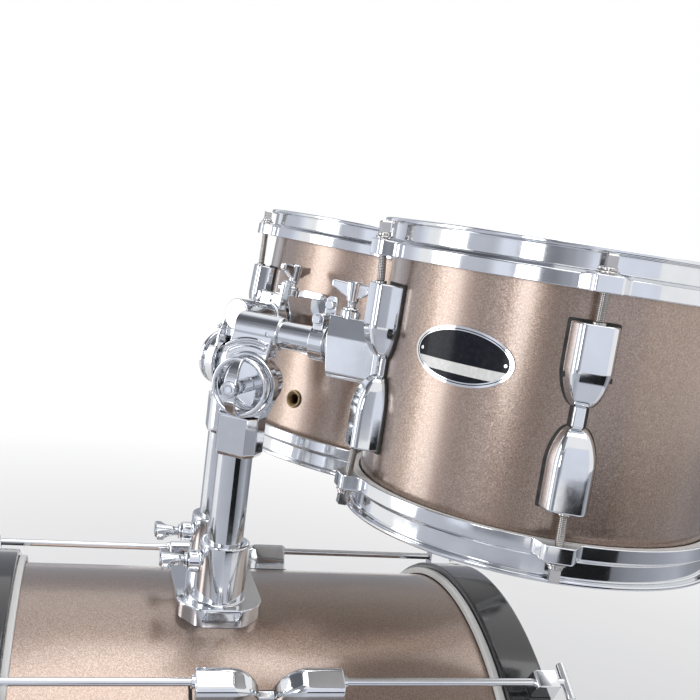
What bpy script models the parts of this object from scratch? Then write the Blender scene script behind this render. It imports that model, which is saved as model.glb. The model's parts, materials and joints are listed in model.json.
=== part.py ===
"""A compact drum kit: one bass drum that carries two rack toms on a double tom holder.

Metres, +Z up. The drummer sits on the +Y side and the audience on the -Y side. The high tom
hangs on the drummer's left (+X) and the larger mid tom on the right (-X). The origin is on the
floor, in the middle of the kit's footprint.

Frames used below:
- drum frame: Z runs along the shell, with Z = 0 at the playing edge of a tom and at the middle
  of the bass drum, whose Z points at the audience;
- shell frame: X points out of a shell, Z along it, and the origin is on the shell's surface;
- swivel frame: Z runs up the post, X points along the tom arm, and the origin is on the post's
  axis at the height of the tilt axis;
- tilt frame: the swivel frame moved to the tilt axis and turned about Y by the tilt.
Holder pieces are built for the right side, with the knob on +Y, and mirrored for the left.
"""
import math
from collections import namedtuple

import bmesh
import bpy
from mathutils import Matrix, Vector

MM = 0.001
GAP = 0.3 * MM                      # left between pieces that touch
THIN_SIDES = 6                      # facets round rods and screws
BOLT_SIDES = 10                     # round bolts and bosses
TUBE_SIDES = 18                     # round tubes and their sleeves
DISC_SIDES = 24                     # round the tilter's cup, disc and ring
SHARP_ANGLE = 32.0                  # edges sharper than this many degrees stay crisp
SINK = 3.0 * MM                     # a seated piece starts this deep and is cut to the shell

# Tom shells
HIGH_RADIUS = 127.0 * MM            # ten-inch shell
HIGH_DEPTH = 178.0 * MM
MID_RADIUS = 152.4 * MM             # twelve-inch shell
MID_DEPTH = 203.0 * MM
TOM_WALL = 7.2 * MM
TOM_LUGS = 5
TOM_STEPS = 30                      # facets round a tom, a multiple of the lug count
EDGE_PEAK = 1.6 * MM                # bearing edge: peak set in from the outside
EDGE_SLOPE = 5.0 * MM               # bearing edge: depth of the inner bevel

# Heads
FILM = 0.4 * MM
COLLAR = 0.6 * MM                   # clearance between the shell and the head's collar
COLLAR_WALL = 0.6 * MM
FLESH_WIDTH = 6.2 * MM
FLESH_TOP = 4.7 * MM                # below the bearing edge
FLESH_HEIGHT = 6.0 * MM

# Triple-flanged tom hoops, as offsets outside the shell and heights over the bearing edge
HOOP_METAL = 1.6 * MM
HOOP_WALL = 4.5 * MM                # outside of the upright wall
HOOP_LIP = 9.5 * MM                 # edge of the rolled lip
HOOP_SKIRT = 10.0 * MM              # outside of the lower skirt
HOOP_RISE = 14.8 * MM               # lip over the bearing edge
HOOP_DROP = 11.9 * MM               # skirt under the bearing edge
LIP_HEIGHT = 3.0 * MM
STEP_DROP = 2.4 * MM                # flange, at its outer edge
EAR_REACH = 11.5 * MM               # how far an ear stands out of the skirt
EAR_HALF_WIDTH = 16.0 * MM
EAR_FLAT = 0.45                     # share of an ear's width that stands out in full
EAR_RISE = 1.2 * MM                 # the flange lies flatter at an ear
EAR_HOLE = 3.9 * MM
HOOP_SPAN_STEPS = 4                 # facets between two ears

# Bridge lugs and tension rods, measured from the shell
LUG_LENGTH = 116.0 * MM
LUG_HEIGHT = 18.0 * MM
LUG_BASE_HALF = 15.0 * MM
LUG_FACE_HALF = 11.0 * MM
LUG_WAIST_HALF = 4.5 * MM
LUG_WAIST_HEIGHT = 4.5 * MM
LUG_BRIDGE = 12.0 * MM              # length of the slim bridge between the two feet
LUG_CURVE = 24.0 * MM               # length over which a foot sweeps down to the bridge
LUG_FULLNESS = 1.7                  # power of that sweep
LUG_ROWS = (0.0, 0.15, 0.55)        # places along the sweep that get a row of corners
LUG_SHOULDER = 3.0                  # the sides turn in at this fraction of the height
ROD_RADIUS = 2.9 * MM
ROD_INSERT = 6.0 * MM               # length of rod inside the lug
ROD_AT_LUG = 12.5 * MM              # rod centre off the shell, where it leaves the lug
ROD_AT_HOOP = 15.0 * MM             # and at the ear
WASHER_RADIUS = 6.0 * MM
WASHER_HEIGHT = 1.4 * MM
ROD_COLLAR = 4.6 * MM
ROD_COLLAR_HEIGHT = 2.2 * MM
ROD_HEAD = 6.4 * MM                 # across the square head
ROD_HEAD_HEIGHT = 8.0 * MM

# Badge and air vents
BADGE_WIDTH = 74.0 * MM
BADGE_HEIGHT = 38.0 * MM
BADGE_DROP = 66.5 * MM              # centre below the bearing edge
BADGE_THICKNESS = 1.2 * MM
BADGE_RIM = 1.8 * MM
BADGE_STEPS = 24
VENT_RISE = 42.5 * MM               # centre over the resonant edge
VENT_FLANGE = 8.6 * MM
VENT_TUBE = 5.6 * MM
VENT_BORE = 4.4 * MM
VENT_LIP = 1.6 * MM

# Tom arm and the bracket that takes it
ARM_RADIUS = 11.1 * MM
ARM_WALL = 1.6 * MM
ARM_LENGTH = 142.0 * MM
ARM_HOLE = 12.5 * MM                # in the shell, round the arm
LEFT_REACH = 234.6 * MM             # from the tilt axis to the tom's axis, along the arm
RIGHT_REACH = 232.9 * MM
HIGH_DROP = 89.5 * MM               # arm below the tom's playing edge
MID_DROP = 86.2 * MM
BRACKET_LENGTH = 48.0 * MM
BRACKET_HALF = 15.0 * MM
BRACKET_TOP = 24.0 * MM
BRACKET_TOP_HALF = 7.5 * MM
BRACKET_SHOULDER = 8.0 * MM
BRACKET_BOTTOM = 24.0 * MM
BRACKET_BOTTOM_HALF = 11.0 * MM
BRACKET_KNEE = 20.5 * MM
BRACKET_RAKE = 6.0 * MM             # the mouth draws in by this much towards its bottom
PLATE_HALF_WIDTH = 22.0 * MM
PLATE_HALF_HEIGHT = 30.0 * MM
PLATE_CORNER = 8.0 * MM
PLATE_THICKNESS = 4.5 * MM
WING_OFFSET = 34.0 * MM             # wing bolt, from the shell
WING_BOSS = 8.0 * MM
WING_BOSS_HEIGHT = 5.0 * MM
WING_BOLT_RADIUS = 4.0 * MM
WING_FLANGE = 6.5 * MM
WING_FLANGE_HEIGHT = 2.0 * MM
WING_NECK = 5.0 * MM                # shaft showing between the flange and the wings
WING_HUB = 6.0 * MM
WING_HEIGHT = 16.0 * MM
WING_SPAN = 19.0 * MM
WING_THICKNESS = 5.6 * MM
WING_ROOT = 0.8                     # hub's narrow end, as a share of its radius
WING_OUTLINE = ((0.1, 0.85), (0.45, 0.75), (0.75, 0.52), (1.0, 0.45), (1.0, 0.05), (0.1, 0.1))
                                    # shares of the span, and of the height below the top

# Memory lock on the arm
LOCK_WIDTH = 12.5 * MM
LOCK_RADIUS = 15.2 * MM
LOCK_EAR_TOP = 37.0 * MM
LOCK_EAR_SIDE = 9.0 * MM
LOCK_EAR_THICKNESS = 4.0 * MM
LOCK_EAR_TAPER = 2.0 * MM
LOCK_ROOT = 9.1 * MM                # ear and saddle start inside the collar
LOCK_SADDLE_TOP = 23.0 * MM
LOCK_SADDLE_SIDE = 13.2 * MM
LOCK_KEY = 4.6 * MM
LOCK_KEY_HEIGHT = 19.0 * MM
LOCK_KEY_REACH = 4.0 * MM
LOCK_PIN = 3.6 * MM
LOCK_PIN_HEIGHT = 30.0 * MM
LOCK_PIN_SIDE = 4.5 * MM

# Posts and the tilters on them
POST_SPACING = 68.4 * MM
POST_RADIUS = 15.0 * MM
POST_WALL = 2.0 * MM
POST_BELOW_SHELL = 120.0 * MM       # length of post inside the bass drum
POST_INSERT = 30.0 * MM             # length of post inside the clamp
TILT_HEIGHT = 717.0 * MM            # tilt axis over the floor
TILT_FORWARD = 10.7 * MM            # tilt axis ahead of the post's axis
ARM_RISE = 43.0 * MM                # arm above the tilt axis
LEFT_SPLAY = 34.9                   # arm's angle from +Y, in degrees
RIGHT_SPLAY = 35.9
LEFT_TILT = 0.6                     # rest tilt, in degrees
RIGHT_TILT = 5.9
LEFT_ROLL = -2.8                    # tom's turn about its arm, in degrees
RIGHT_ROLL = 1.0
SLEEVE_RADIUS = 13.6 * MM
SLEEVE_END_WALL = 3.2 * MM
SLEEVE_START = -18.8 * MM           # along the arm, from the tilt axis
SLEEVE_LENGTH = 38.0 * MM
SET_SCREW = 1.9 * MM
SET_SCREW_PLACE = 11.5 * MM         # along the arm, from the tilt axis
WEB_THICKNESS = 2.8 * MM
WEB_SHOULDER_X = -23.4 * MM         # corner of the web behind the cup, from the tilt axis
WEB_SHOULDER_Z = 20.0 * MM
WEB_WAIST_X = 15.8 * MM             # waist of the web ahead of the cup
WEB_WAIST_Z = 34.4 * MM
WEB_FOOT = 0.9                      # the web ends inside the cup, at this share of its radius
WEB_FOOT_ANGLES = (170.0, 10.0, 58.0)
SADDLE_HALF = 5.5 * MM              # solid core between the sleeve and the cup
SADDLE_LENGTH = 28.5 * MM
SADDLE_BOTTOM = 22.1 * MM
CUP_RADIUS = 26.3 * MM
CUP_DEPTH = 9.4 * MM
CUP_RIM = 4.0 * MM
CUP_FLOOR = 3.9 * MM
CUP_FLARE = 1.5 * MM
DISC_RADIUS = 20.5 * MM
DISC_BACK = 10.0 * MM               # behind and before the post's axis
DISC_FRONT = 8.4 * MM
TEETH = 12                          # radial teeth on each ratchet face
TOOTH_INNER = 11.0 * MM
TOOTH_OUTER = 19.0 * MM
TOOTH_HEIGHT = 0.95 * MM
TOOTH_LAND = 0.12 * MM              # the valleys stay this far clear of the disc's face
PIVOT_BOLT = 4.0 * MM
PIVOT_HEAD = 7.5 * MM
PIVOT_HEAD_HEIGHT = 5.0 * MM
CLAMP_TOP = 28.0 * MM               # clamp body below the tilt axis: top and bottom
CLAMP_BOTTOM = 61.5 * MM
CLAMP_FACE = 17.5 * MM              # flat front face, sideways from the post's axis
CLAMP_FACE_LEFT = 8.5 * MM
CLAMP_FACE_RIGHT = 15.5 * MM
CLAMP_RADIUS = 17.4 * MM            # round back of the clamp
CLAMP_RIGHT = 21.3 * MM
CLAMP_BACK_ANGLES = (130.0, 160.0, 190.0, 220.0, 250.0, 280.0)
CLAMP_FLANK = ((0.75, -0.8), (1.0, -0.4), (1.0, 0.5))
                                    # shares of the right width and of the round back's radius
CLAMP_CHAMFER = 3.0 * MM
CLAMP_TAPER = 0.93                  # chamfered bottom edge, as a share of the plan
CLAMP_SLOT = 2.5 * MM
CLAMP_SLOT_HEIGHT = 24.0 * MM
NECK_WIDTH = 0.95                   # neck between clamp and disc: shares of their sizes
NECK_TOP = 0.8
NECK_SHOULDER = 0.3
NECK_INSET = 1.2 * MM
RING_RADIUS = 24.3 * MM
RING_WIDTH = 3.6 * MM
RING_DEPTH = 4.0 * MM
RING_BACK = 26.0 * MM               # before the post's axis
BAIL_NARROW = 2.4 * MM              # half widths of the cross-bar
BAIL_WIDE = 5.6 * MM
BAIL_THICKNESS = 3.4 * MM
BAIL_ROWS = (-1.0, -0.8, -0.4, 0.4, 0.8, 1.0)
KNOB_HUB = 6.6 * MM
KNOB_FRONT = 48.0 * MM
KNOB_HUB_DEPTH = 8.0 * MM
KNOB_SLEEVE = 6.0 * MM
KNOB_CAP = 2.6 * MM

# Bass drum
BASS_RADIUS = 254.0 * MM            # twenty-inch shell
BASS_DEPTH = 406.0 * MM
BASS_WALL = 8.0 * MM
BASS_LUGS = 6
BASS_STEPS = 36
BASS_BEHIND = 30.0 * MM             # middle of the shell, behind the posts
BASS_HOOP_INSIDE = 3.0 * MM         # hoop's inside, outside the shell
BASS_HOOP_THICKNESS = 10.0 * MM
BASS_HOOP_DEPTH = 38.0 * MM
BASS_LUG_HEIGHT = 27.0 * MM
BASS_ROD_OFFSET = 21.5 * MM         # tension rod off the shell
BASS_ROD_RADIUS = 3.2 * MM
CLAW_HALF_WIDTH = 8.0 * MM
CLAW_THICKNESS = 3.0 * MM
CLAW_TAIL = 20.0 * MM               # reach along the hoop's outside
CLAW_HOOK = 6.5 * MM                # reach down the hoop's front
TEE_HALF = 17.0 * MM
TEE_RADIUS = 3.8 * MM
TEE_STANDOFF = 12.0 * MM

# Post bracket on top of the bass drum
MOUNT_HALF_X = 62.0 * MM
MOUNT_HALF_Y = 36.0 * MM
MOUNT_CORNER = 16.0 * MM
MOUNT_PLATE = 8.0 * MM
MOUNT_SINK = 20.0 * MM
MOUNT_SLEEVE = 21.0 * MM
MOUNT_HEIGHT = 58.0 * MM            # top of the sleeves over the shell
MOUNT_WEB_HALF = 6.0 * MM
MOUNT_WEB_HEIGHT = 46.0 * MM
MOUNT_WING_HEIGHT = 40.0 * MM
MOUNT_BOSS = 8.5 * MM
MOUNT_BOSS_REACH = 30.0 * MM
POST_HOLE = 16.5 * MM               # in the bass shell, round each post

# Spurs
SPUR_ANGLE = 20.0                   # bracket below the shell's widest point, in degrees
SPUR_AHEAD = 125.0 * MM             # ahead of the shell's middle
SPUR_LEAN = 24.0                    # leg's lean outwards, in degrees
SPUR_RAKE = 25.0                    # leg's lean forwards, in degrees
SPUR_PLATE_HALF = 24.0 * MM
SPUR_PLATE = 5.0 * MM
SPUR_CORNER = 8.0 * MM
SPUR_BOSS = 14.0 * MM
SPUR_STANDOFF = 22.0 * MM           # hub's inner face off the shell
SPUR_HUB = 16.0 * MM
SPUR_HUB_DEPTH = 27.0 * MM
SPUR_PIN = 4.0 * MM
SPUR_CAP = 5.8 * MM
SPUR_CAP_HEIGHT = 4.0 * MM
SPUR_LEG = 6.35 * MM
FOOT_RADIUS = 12.0 * MM
FOOT_LENGTH = 30.0 * MM             # rubber along the leg
FOOT_SOLE = 7.0 * MM                # rubber under the end of the leg

# Values that follow from those above
TWO_PI = 2 * math.pi
CUP_BACK = DISC_FRONT + 2 * TOOTH_HEIGHT + GAP
CUP_FRONT = CUP_BACK + CUP_DEPTH
SLEEVE_END = SLEEVE_START + SLEEVE_LENGTH
BORE_START = SLEEVE_START + SLEEVE_END_WALL
BOSS_TOP = BRACKET_TOP + WING_BOSS_HEIGHT
BASS_TURN = math.pi / BASS_STEPS    # half a facet, so that a flat side faces the floor
BASS_HOOP_RADIUS = BASS_RADIUS + BASS_HOOP_INSIDE + BASS_HOOP_THICKNESS
BASS_HEIGHT = BASS_HOOP_RADIUS * math.cos(BASS_TURN)
BASS_HOOP_BACK = BASS_DEPTH / 2 - FLESH_TOP + GAP
BASS_HOOP_FRONT = BASS_HOOP_BACK + BASS_HOOP_DEPTH

Side = namedtuple("Side", "name tom sign radius depth drop reach splay tilt roll")
SIDES = (
    Side("left", "high_tom", 1, HIGH_RADIUS, HIGH_DEPTH, HIGH_DROP, LEFT_REACH,
         LEFT_SPLAY, LEFT_TILT, LEFT_ROLL),
    Side("right", "mid_tom", -1, MID_RADIUS, MID_DEPTH, MID_DROP, RIGHT_REACH,
         RIGHT_SPLAY, RIGHT_TILT, RIGHT_ROLL),
)
BRACKET_TURN = math.pi              # places round a tom, from the direction of its arm
BADGE_TURN = math.radians(252.0)


# Materials

def material(name, color, metallic, roughness):
    made = bpy.data.materials.new(name)
    made.use_nodes = True
    shader = made.node_tree.nodes["Principled BSDF"]
    shader.inputs["Base Color"].default_value = (*color, 1.0)
    shader.inputs["Metallic"].default_value = metallic
    shader.inputs["Roughness"].default_value = roughness
    made.diffuse_color = (*color, 1.0)
    return made


def finishes():
    return {
        "lacquer": material("bronze_sparkle_lacquer", (0.42, 0.31, 0.23), 0.6, 0.35),
        "chrome": material("chrome", (0.80, 0.81, 0.83), 1.0, 0.08),
        "film": material("coated_film", (0.86, 0.86, 0.84), 0.0, 0.6),
        "badge": material("badge_plate", (0.03, 0.03, 0.035), 0.4, 0.3),
        "brass": material("brass_grommet", (0.72, 0.56, 0.30), 1.0, 0.3),
        "hoop": material("black_hoop_lacquer", (0.02, 0.02, 0.022), 0.0, 0.25),
        "rubber": material("rubber_foot", (0.02, 0.02, 0.02), 0.0, 0.8),
    }


# Solids, each made at the origin and placed afterwards

def solid(name, bm):
    """Close a bmesh into an object whose faces point outwards."""
    bmesh.ops.remove_doubles(bm, verts=bm.verts, dist=0.001 * MM)
    bmesh.ops.recalc_face_normals(bm, faces=bm.faces)
    mesh = bpy.data.meshes.new(name)
    bm.to_mesh(mesh)
    bm.free()
    made = bpy.data.objects.new(name, mesh)
    bpy.context.scene.collection.objects.link(made)
    return made


def shaped(made, matrix):
    """Move, turn or mirror a solid's own mesh."""
    made.data.transform(matrix)
    if matrix.determinant() < 0.0:
        made.data.flip_normals()
    return made


def lathe(name, profile, steps, turn=0.0):
    """Turn a closed outline of (radius, height) points about Z, with a corner at the turn angle."""
    bm = bmesh.new()
    points = [bm.verts.new((radius, 0.0, height)) for radius, height in profile]
    edges = []
    for start, end in zip(points, points[1:] + points[:1]):
        if start.co.x > 0.0 or end.co.x > 0.0:
            edges.append(bm.edges.new((start, end)))
    bmesh.ops.spin(bm, geom=points + edges, cent=(0, 0, 0), axis=(0, 0, 1),
                   angle=TWO_PI, steps=steps, use_duplicate=False)
    return shaped(solid(name, bm), Matrix.Rotation(turn, 4, "Z"))


def loft(name, loops, cyclic=False):
    """Skin a row of closed loops of equal length, capped at both ends unless the row is cyclic."""
    bm = bmesh.new()
    rows = [[bm.verts.new(point) for point in loop] for loop in loops]
    count = len(rows[0])
    pairs = list(zip(rows, rows[1:])) + ([(rows[-1], rows[0])] if cyclic else [])
    for low, high in pairs:
        for i in range(count):
            j = (i + 1) % count
            bm.faces.new((low[i], low[j], high[j], high[i]))
    if not cyclic:
        bm.faces.new(rows[0])
        bm.faces.new(list(reversed(rows[-1])))
    return solid(name, bm)


def prism(name, outline, start, end, axes="XYZ"):
    """Extrude an outline; axes names the outline's two axes and the one it runs along."""
    first, second, third = ("XYZ".index(letter) for letter in axes)

    def point(pair, along):
        spot = [0.0, 0.0, 0.0]
        spot[first], spot[second], spot[third] = pair[0], pair[1], along
        return spot

    return loft(name, [[point(pair, along) for pair in outline] for along in (start, end)])


def block(name, low, high):
    outline = [(low[0], low[1]), (high[0], low[1]), (high[0], high[1]), (low[0], high[1])]
    return prism(name, outline, low[2], high[2])


def circle(radius, sides, turn=0.0):
    angles = [turn + TWO_PI * i / sides for i in range(sides)]
    return [(radius * math.cos(angle), radius * math.sin(angle)) for angle in angles]


def octagon(half_width, half_height, corner):
    """A rectangle with its corners cut off."""
    w, h, c = half_width, half_height, corner
    return [(-w + c, -h), (w - c, -h), (w, -h + c), (w, h - c),
            (w - c, h), (-w + c, h), (-w, h - c), (-w, -h + c)]


def stepped_bar(name, start, direction, steps, sides, turn=0.0):
    """A round bar along a direction, whose radius follows (distance, radius) steps."""
    facing = Vector(direction).to_track_quat("Z", "Y").to_matrix()
    loops = []
    for distance, radius in steps:
        ring = circle(radius, sides, turn)
        loops.append([Vector(start) + facing @ Vector((x, y, distance)) for x, y in ring])
    return loft(name, loops)


def bar(name, start, end, radius, sides, turn=0.0):
    """A round bar between two points."""
    run = Vector(end) - Vector(start)
    return stepped_bar(name, start, run, ((0.0, radius), (run.length, radius)), sides, turn)


def boolean(base, tools, operation):
    """Join or cut with each tool in turn; the tools are used up."""
    for tool in tools:
        step = base.modifiers.new(operation, "BOOLEAN")
        step.operation = operation
        step.solver = "EXACT"
        step.object = tool
        bpy.context.view_layer.update()
        graph = bpy.context.evaluated_depsgraph_get()
        mesh = bpy.data.meshes.new_from_object(base.evaluated_get(graph))
        base.modifiers.clear()
        base.data = mesh
        bpy.data.objects.remove(tool)
    return base


def fuse(base, *tools):
    return boolean(base, tools, "UNION")


def carve(base, *tools):
    return boolean(base, tools, "DIFFERENCE")


def handed(made, side):
    """Holder pieces on the left are mirror images of those on the right."""
    if side.sign < 0:
        return made
    return shaped(made, Matrix.Scale(-1.0, 4, (0.0, 1.0, 0.0)))


def place(made, name, parent, finish, location=(0, 0, 0), rotation=(0, 0, 0)):
    """Name a solid, give it its finish and hang it on its frame."""
    made.name = name
    made.data.name = name
    made.data.materials.clear()
    made.data.materials.append(finish)
    made.data.shade_smooth()
    made.data.set_sharp_from_angle(angle=math.radians(SHARP_ANGLE))
    made.parent = parent
    made.location = location
    made.rotation_euler = rotation
    return made


def twin(made, name, location=(0, 0, 0), rotation=(0, 0, 0)):
    """A further copy of a repeated piece, which shares its mesh."""
    copy = bpy.data.objects.new(name, made.data)
    bpy.context.scene.collection.objects.link(copy)
    copy.parent = made.parent
    copy.location = location
    copy.rotation_euler = rotation
    return copy


def frame(name, parent=None, location=(0, 0, 0), rotation=(0, 0, 0)):
    """An empty that carries the pieces of one moving group."""
    made = bpy.data.objects.new(name, None)
    bpy.context.scene.collection.objects.link(made)
    made.empty_display_size = 20 * MM
    made.parent = parent
    made.location = location
    made.rotation_euler = rotation
    return made


def on_shell(radius, angle, height):
    """Location and rotation of the shell frame at an angle round a drum."""
    return (radius * math.cos(angle), radius * math.sin(angle), height), (0.0, 0.0, angle)


def shell_seat(radius, steps, length, turn=0.0):
    """Cutter in the shape of a shell's outside plus the gap, in the shell frame."""
    made = prism("seat", circle(radius + GAP, steps, turn), -length, length)
    return shaped(made, Matrix.Translation((-radius, 0.0, 0.0)))


# Shells, heads and hoops

def shell(radius, depth, wall, steps, turn=0.0):
    """Tube with a rounded-over outside and a bevelled inside at both edges, centred on Z = 0."""
    half = depth / 2
    peak, slope = radius - EDGE_PEAK, half - EDGE_SLOPE
    return lathe("shell", [
        (radius, half - EDGE_PEAK), (radius, EDGE_PEAK - half), (peak, -half),
        (radius - wall, -slope), (radius - wall, slope), (peak, half)], steps, turn)


def head(radius, steps, turn=0.0):
    """Film over the bearing edge at Z = 0, drawn down into its flesh hoop."""
    inside = radius + COLLAR
    flesh = inside + FLESH_WIDTH
    bottom = -FLESH_TOP - FLESH_HEIGHT
    return lathe("head", [
        (0.0, GAP + FILM), (inside, GAP + FILM), (inside + COLLAR_WALL, -FLESH_TOP),
        (flesh, -FLESH_TOP), (flesh, bottom), (inside, bottom),
        (inside - COLLAR_WALL / 2, GAP), (0.0, GAP)], steps, turn)


def flange_height(offset):
    """Height of the flange's top at an ear's middle, for an offset outside the shell."""
    run = HOOP_SKIRT + EAR_REACH - HOOP_WALL
    return (EAR_RISE - STEP_DROP) * (offset - HOOP_WALL) / run


def tom_hoop(radius):
    """Triple-flanged hoop, pressed out into a drilled ear at each rod."""
    profile = [                                # offset, height, goes out with the ears
        (HOOP_SKIRT - HOOP_METAL, -HOOP_DROP, True), (HOOP_SKIRT, -HOOP_DROP, True),
        (HOOP_SKIRT, -STEP_DROP, True), (HOOP_WALL, 0.0, False),
        (HOOP_WALL, HOOP_RISE - LIP_HEIGHT, False), (HOOP_LIP, HOOP_RISE - LIP_HEIGHT, False),
        (HOOP_LIP, HOOP_RISE, False), (HOOP_WALL - HOOP_METAL, HOOP_RISE, False),
        (HOOP_WALL - HOOP_METAL, -STEP_DROP, False),
        (HOOP_SKIRT - HOOP_METAL, -STEP_DROP - HOOP_METAL, True)]
    pitch = TWO_PI / TOM_LUGS
    ear = EAR_HALF_WIDTH / (radius + HOOP_SKIRT)
    stations = [(-EAR_FLAT * ear, 1.0), (EAR_FLAT * ear, 1.0)]
    for i in range(HOOP_SPAN_STEPS + 1):
        stations.append((ear + (pitch - 2 * ear) * i / HOOP_SPAN_STEPS, 0.0))
    loops = []
    for sector in range(TOM_LUGS):
        for turn, bulge in stations:
            angle = sector * pitch + turn
            loop = []
            for offset, height, goes_out in profile:
                out = radius + offset + (EAR_REACH * bulge if goes_out else 0.0)
                up = height + (EAR_RISE * bulge if goes_out and height > -HOOP_DROP else 0.0)
                loop.append((out * math.cos(angle), out * math.sin(angle), up))
            loops.append(loop)
    made = loft("hoop", loops, cyclic=True)
    for sector in range(TOM_LUGS):
        (x, y, _), _ = on_shell(radius + ROD_AT_HOOP, sector * pitch, 0.0)
        carve(made, bar("hole", (x, y, -STEP_DROP - 2 * HOOP_METAL), (x, y, HOOP_METAL),
                        EAR_HOLE, THIN_SIDES))
    return made


# Lugs

def lug_body(radius, steps, height, turn=0.0):
    """Two feet that sweep down to a slim bridge between them, seated on the shell's curve."""
    half, bridge = LUG_LENGTH / 2, LUG_BRIDGE / 2

    def section(z):
        run = min(max((abs(z) - bridge) / LUG_CURVE, 0.0), 1.0)
        swell = (1.0 - (1.0 - run) ** LUG_FULLNESS) ** (1 / LUG_FULLNESS)
        top = LUG_WAIST_HEIGHT + (height - LUG_WAIST_HEIGHT) * swell
        base = LUG_WAIST_HALF + (LUG_BASE_HALF - LUG_WAIST_HALF) * swell
        face = base * LUG_FACE_HALF / LUG_BASE_HALF
        shoulder = top / LUG_SHOULDER
        return [(-SINK, -base, z), (-SINK, base, z), (shoulder, base, z),
                (top, face, z), (top, -face, z), (shoulder, -base, z)]

    stations = [bridge + LUG_CURVE * share for share in LUG_ROWS] + [half]
    rows = [-z for z in reversed(stations)] + stations
    made = loft("lug", [section(z) for z in rows])
    return carve(made, shell_seat(radius, steps, LUG_LENGTH, turn))


def tom_lug(radius, depth):
    """Lug with its two tension rods, which splay out to the hoops' ears."""
    made = lug_body(radius, TOM_STEPS, LUG_HEIGHT)
    for sign in (-1, 1):
        lug_end = Vector((ROD_AT_LUG, 0.0, sign * LUG_LENGTH / 2))
        run = Vector((ROD_AT_HOOP, 0.0, sign * depth / 2)) - lug_end
        seat = run.length + flange_height(ROD_AT_HOOP) + 2 * GAP
        collar = seat + WASHER_HEIGHT
        square = collar + ROD_COLLAR_HEIGHT
        rod = stepped_bar("rod", lug_end, run, (
            (-ROD_INSERT, ROD_RADIUS), (seat, ROD_RADIUS), (seat, WASHER_RADIUS),
            (collar, WASHER_RADIUS), (square, ROD_COLLAR)), THIN_SIDES)
        key = stepped_bar("key", lug_end, run, (
            (square - GAP, ROD_HEAD / math.sqrt(2)),
            (square + ROD_HEAD_HEIGHT, ROD_HEAD / math.sqrt(2))), 4, math.pi / 4)
        fuse(made, rod, key)
    return made


def bass_lug():
    """Double-ended lug with its rods, claws over the hoops, and tee handles."""
    made = lug_body(BASS_RADIUS, BASS_STEPS, BASS_LUG_HEIGHT, BASS_TURN)
    hoop = BASS_HOOP_INSIDE + BASS_HOOP_THICKNESS
    back, front = hoop + GAP, BASS_HOOP_FRONT + GAP
    top = BASS_ROD_OFFSET + 2 * BASS_ROD_RADIUS
    claw = [(back, front - CLAW_TAIL), (top, front - CLAW_TAIL + CLAW_THICKNESS),
            (top, front + CLAW_THICKNESS), (hoop - CLAW_HOOK, front + CLAW_THICKNESS),
            (hoop - CLAW_HOOK, front), (back, front)]
    for sign in (-1, 1):
        tee = sign * (front + TEE_STANDOFF)
        start = sign * (LUG_LENGTH / 2 - ROD_INSERT)
        fuse(made,
             prism("claw", [(x, sign * z) for x, z in claw],
                   -CLAW_HALF_WIDTH, CLAW_HALF_WIDTH, "XZY"),
             bar("rod", (BASS_ROD_OFFSET, 0, start), (BASS_ROD_OFFSET, 0, tee),
                 BASS_ROD_RADIUS, THIN_SIDES),
             bar("tee", (BASS_ROD_OFFSET, -TEE_HALF, tee), (BASS_ROD_OFFSET, TEE_HALF, tee),
                 TEE_RADIUS, THIN_SIDES))
    return made


# Badge and vent

def badge(radius):
    """Oval plate bent to the shell with a raised rim. Drum frame, facing +X."""
    back = radius + GAP
    rim = back + BADGE_THICKNESS
    face = rim - BADGE_THICKNESS / 3
    bm = bmesh.new()
    rows = []
    for inset, out in ((0.0, back), (0.0, rim), (BADGE_RIM, rim), (BADGE_RIM, face)):
        row = []
        for i in range(BADGE_STEPS):
            turn = TWO_PI * i / BADGE_STEPS
            across = (BADGE_WIDTH / 2 - inset) * math.cos(turn) / radius
            up = (BADGE_HEIGHT / 2 - inset) * math.sin(turn)
            row.append(bm.verts.new((out * math.cos(across), out * math.sin(across), up)))
        rows.append(row)
    for low, high in zip(rows, rows[1:]):
        for i in range(BADGE_STEPS):
            j = (i + 1) % BADGE_STEPS
            bm.faces.new((low[i], low[j], high[j], high[i]))
    middle = BADGE_STEPS // 2
    for row in (rows[0], rows[-1]):            # rungs across the oval keep the shell's curve
        bm.faces.new((row[0], row[1], row[-1]))
        for i in range(2, middle):
            bm.faces.new((row[i - 1], row[i], row[-i], row[1 - i]))
        bm.faces.new((row[middle - 1], row[middle], row[middle + 1]))
    return solid("badge", bm)


def vent():
    """Grommet round the air hole: outer lip and a tube through the wall. Shell frame."""
    inner = -TOM_WALL - VENT_LIP
    made = lathe("vent", [
        (VENT_BORE, GAP + VENT_LIP), (VENT_FLANGE - VENT_LIP / 2, GAP + VENT_LIP),
        (VENT_FLANGE, GAP), (VENT_TUBE, GAP), (VENT_TUBE, inner), (VENT_BORE, inner)], BOLT_SIDES)
    return shaped(made, Matrix.Rotation(math.pi / 2, 4, "Y"))


# Tom bracket, wing bolts, arm and memory lock

def wing_bolt(tip, seat):
    """Shaft, flange and two swept wings, upright along Z."""
    flange = seat + GAP
    neck = flange + WING_FLANGE_HEIGHT
    root = neck + WING_NECK
    top = root + WING_HEIGHT
    made = stepped_bar("shaft", (0, 0, 0), (0, 0, 1), (
        (tip, WING_BOLT_RADIUS), (flange, WING_BOLT_RADIUS), (flange, WING_FLANGE),
        (neck, WING_FLANGE), (neck, WING_BOLT_RADIUS), (root, WING_BOLT_RADIUS),
        (root, WING_ROOT * WING_HUB), (top, WING_HUB)), BOLT_SIDES)
    for sign in (-1, 1):
        outline = [(sign * out * WING_SPAN, top - down * WING_HEIGHT) for out, down in WING_OUTLINE]
        fuse(made, prism("wing", outline, -WING_THICKNESS / 2, WING_THICKNESS / 2, "XZY"))
    return made


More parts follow.
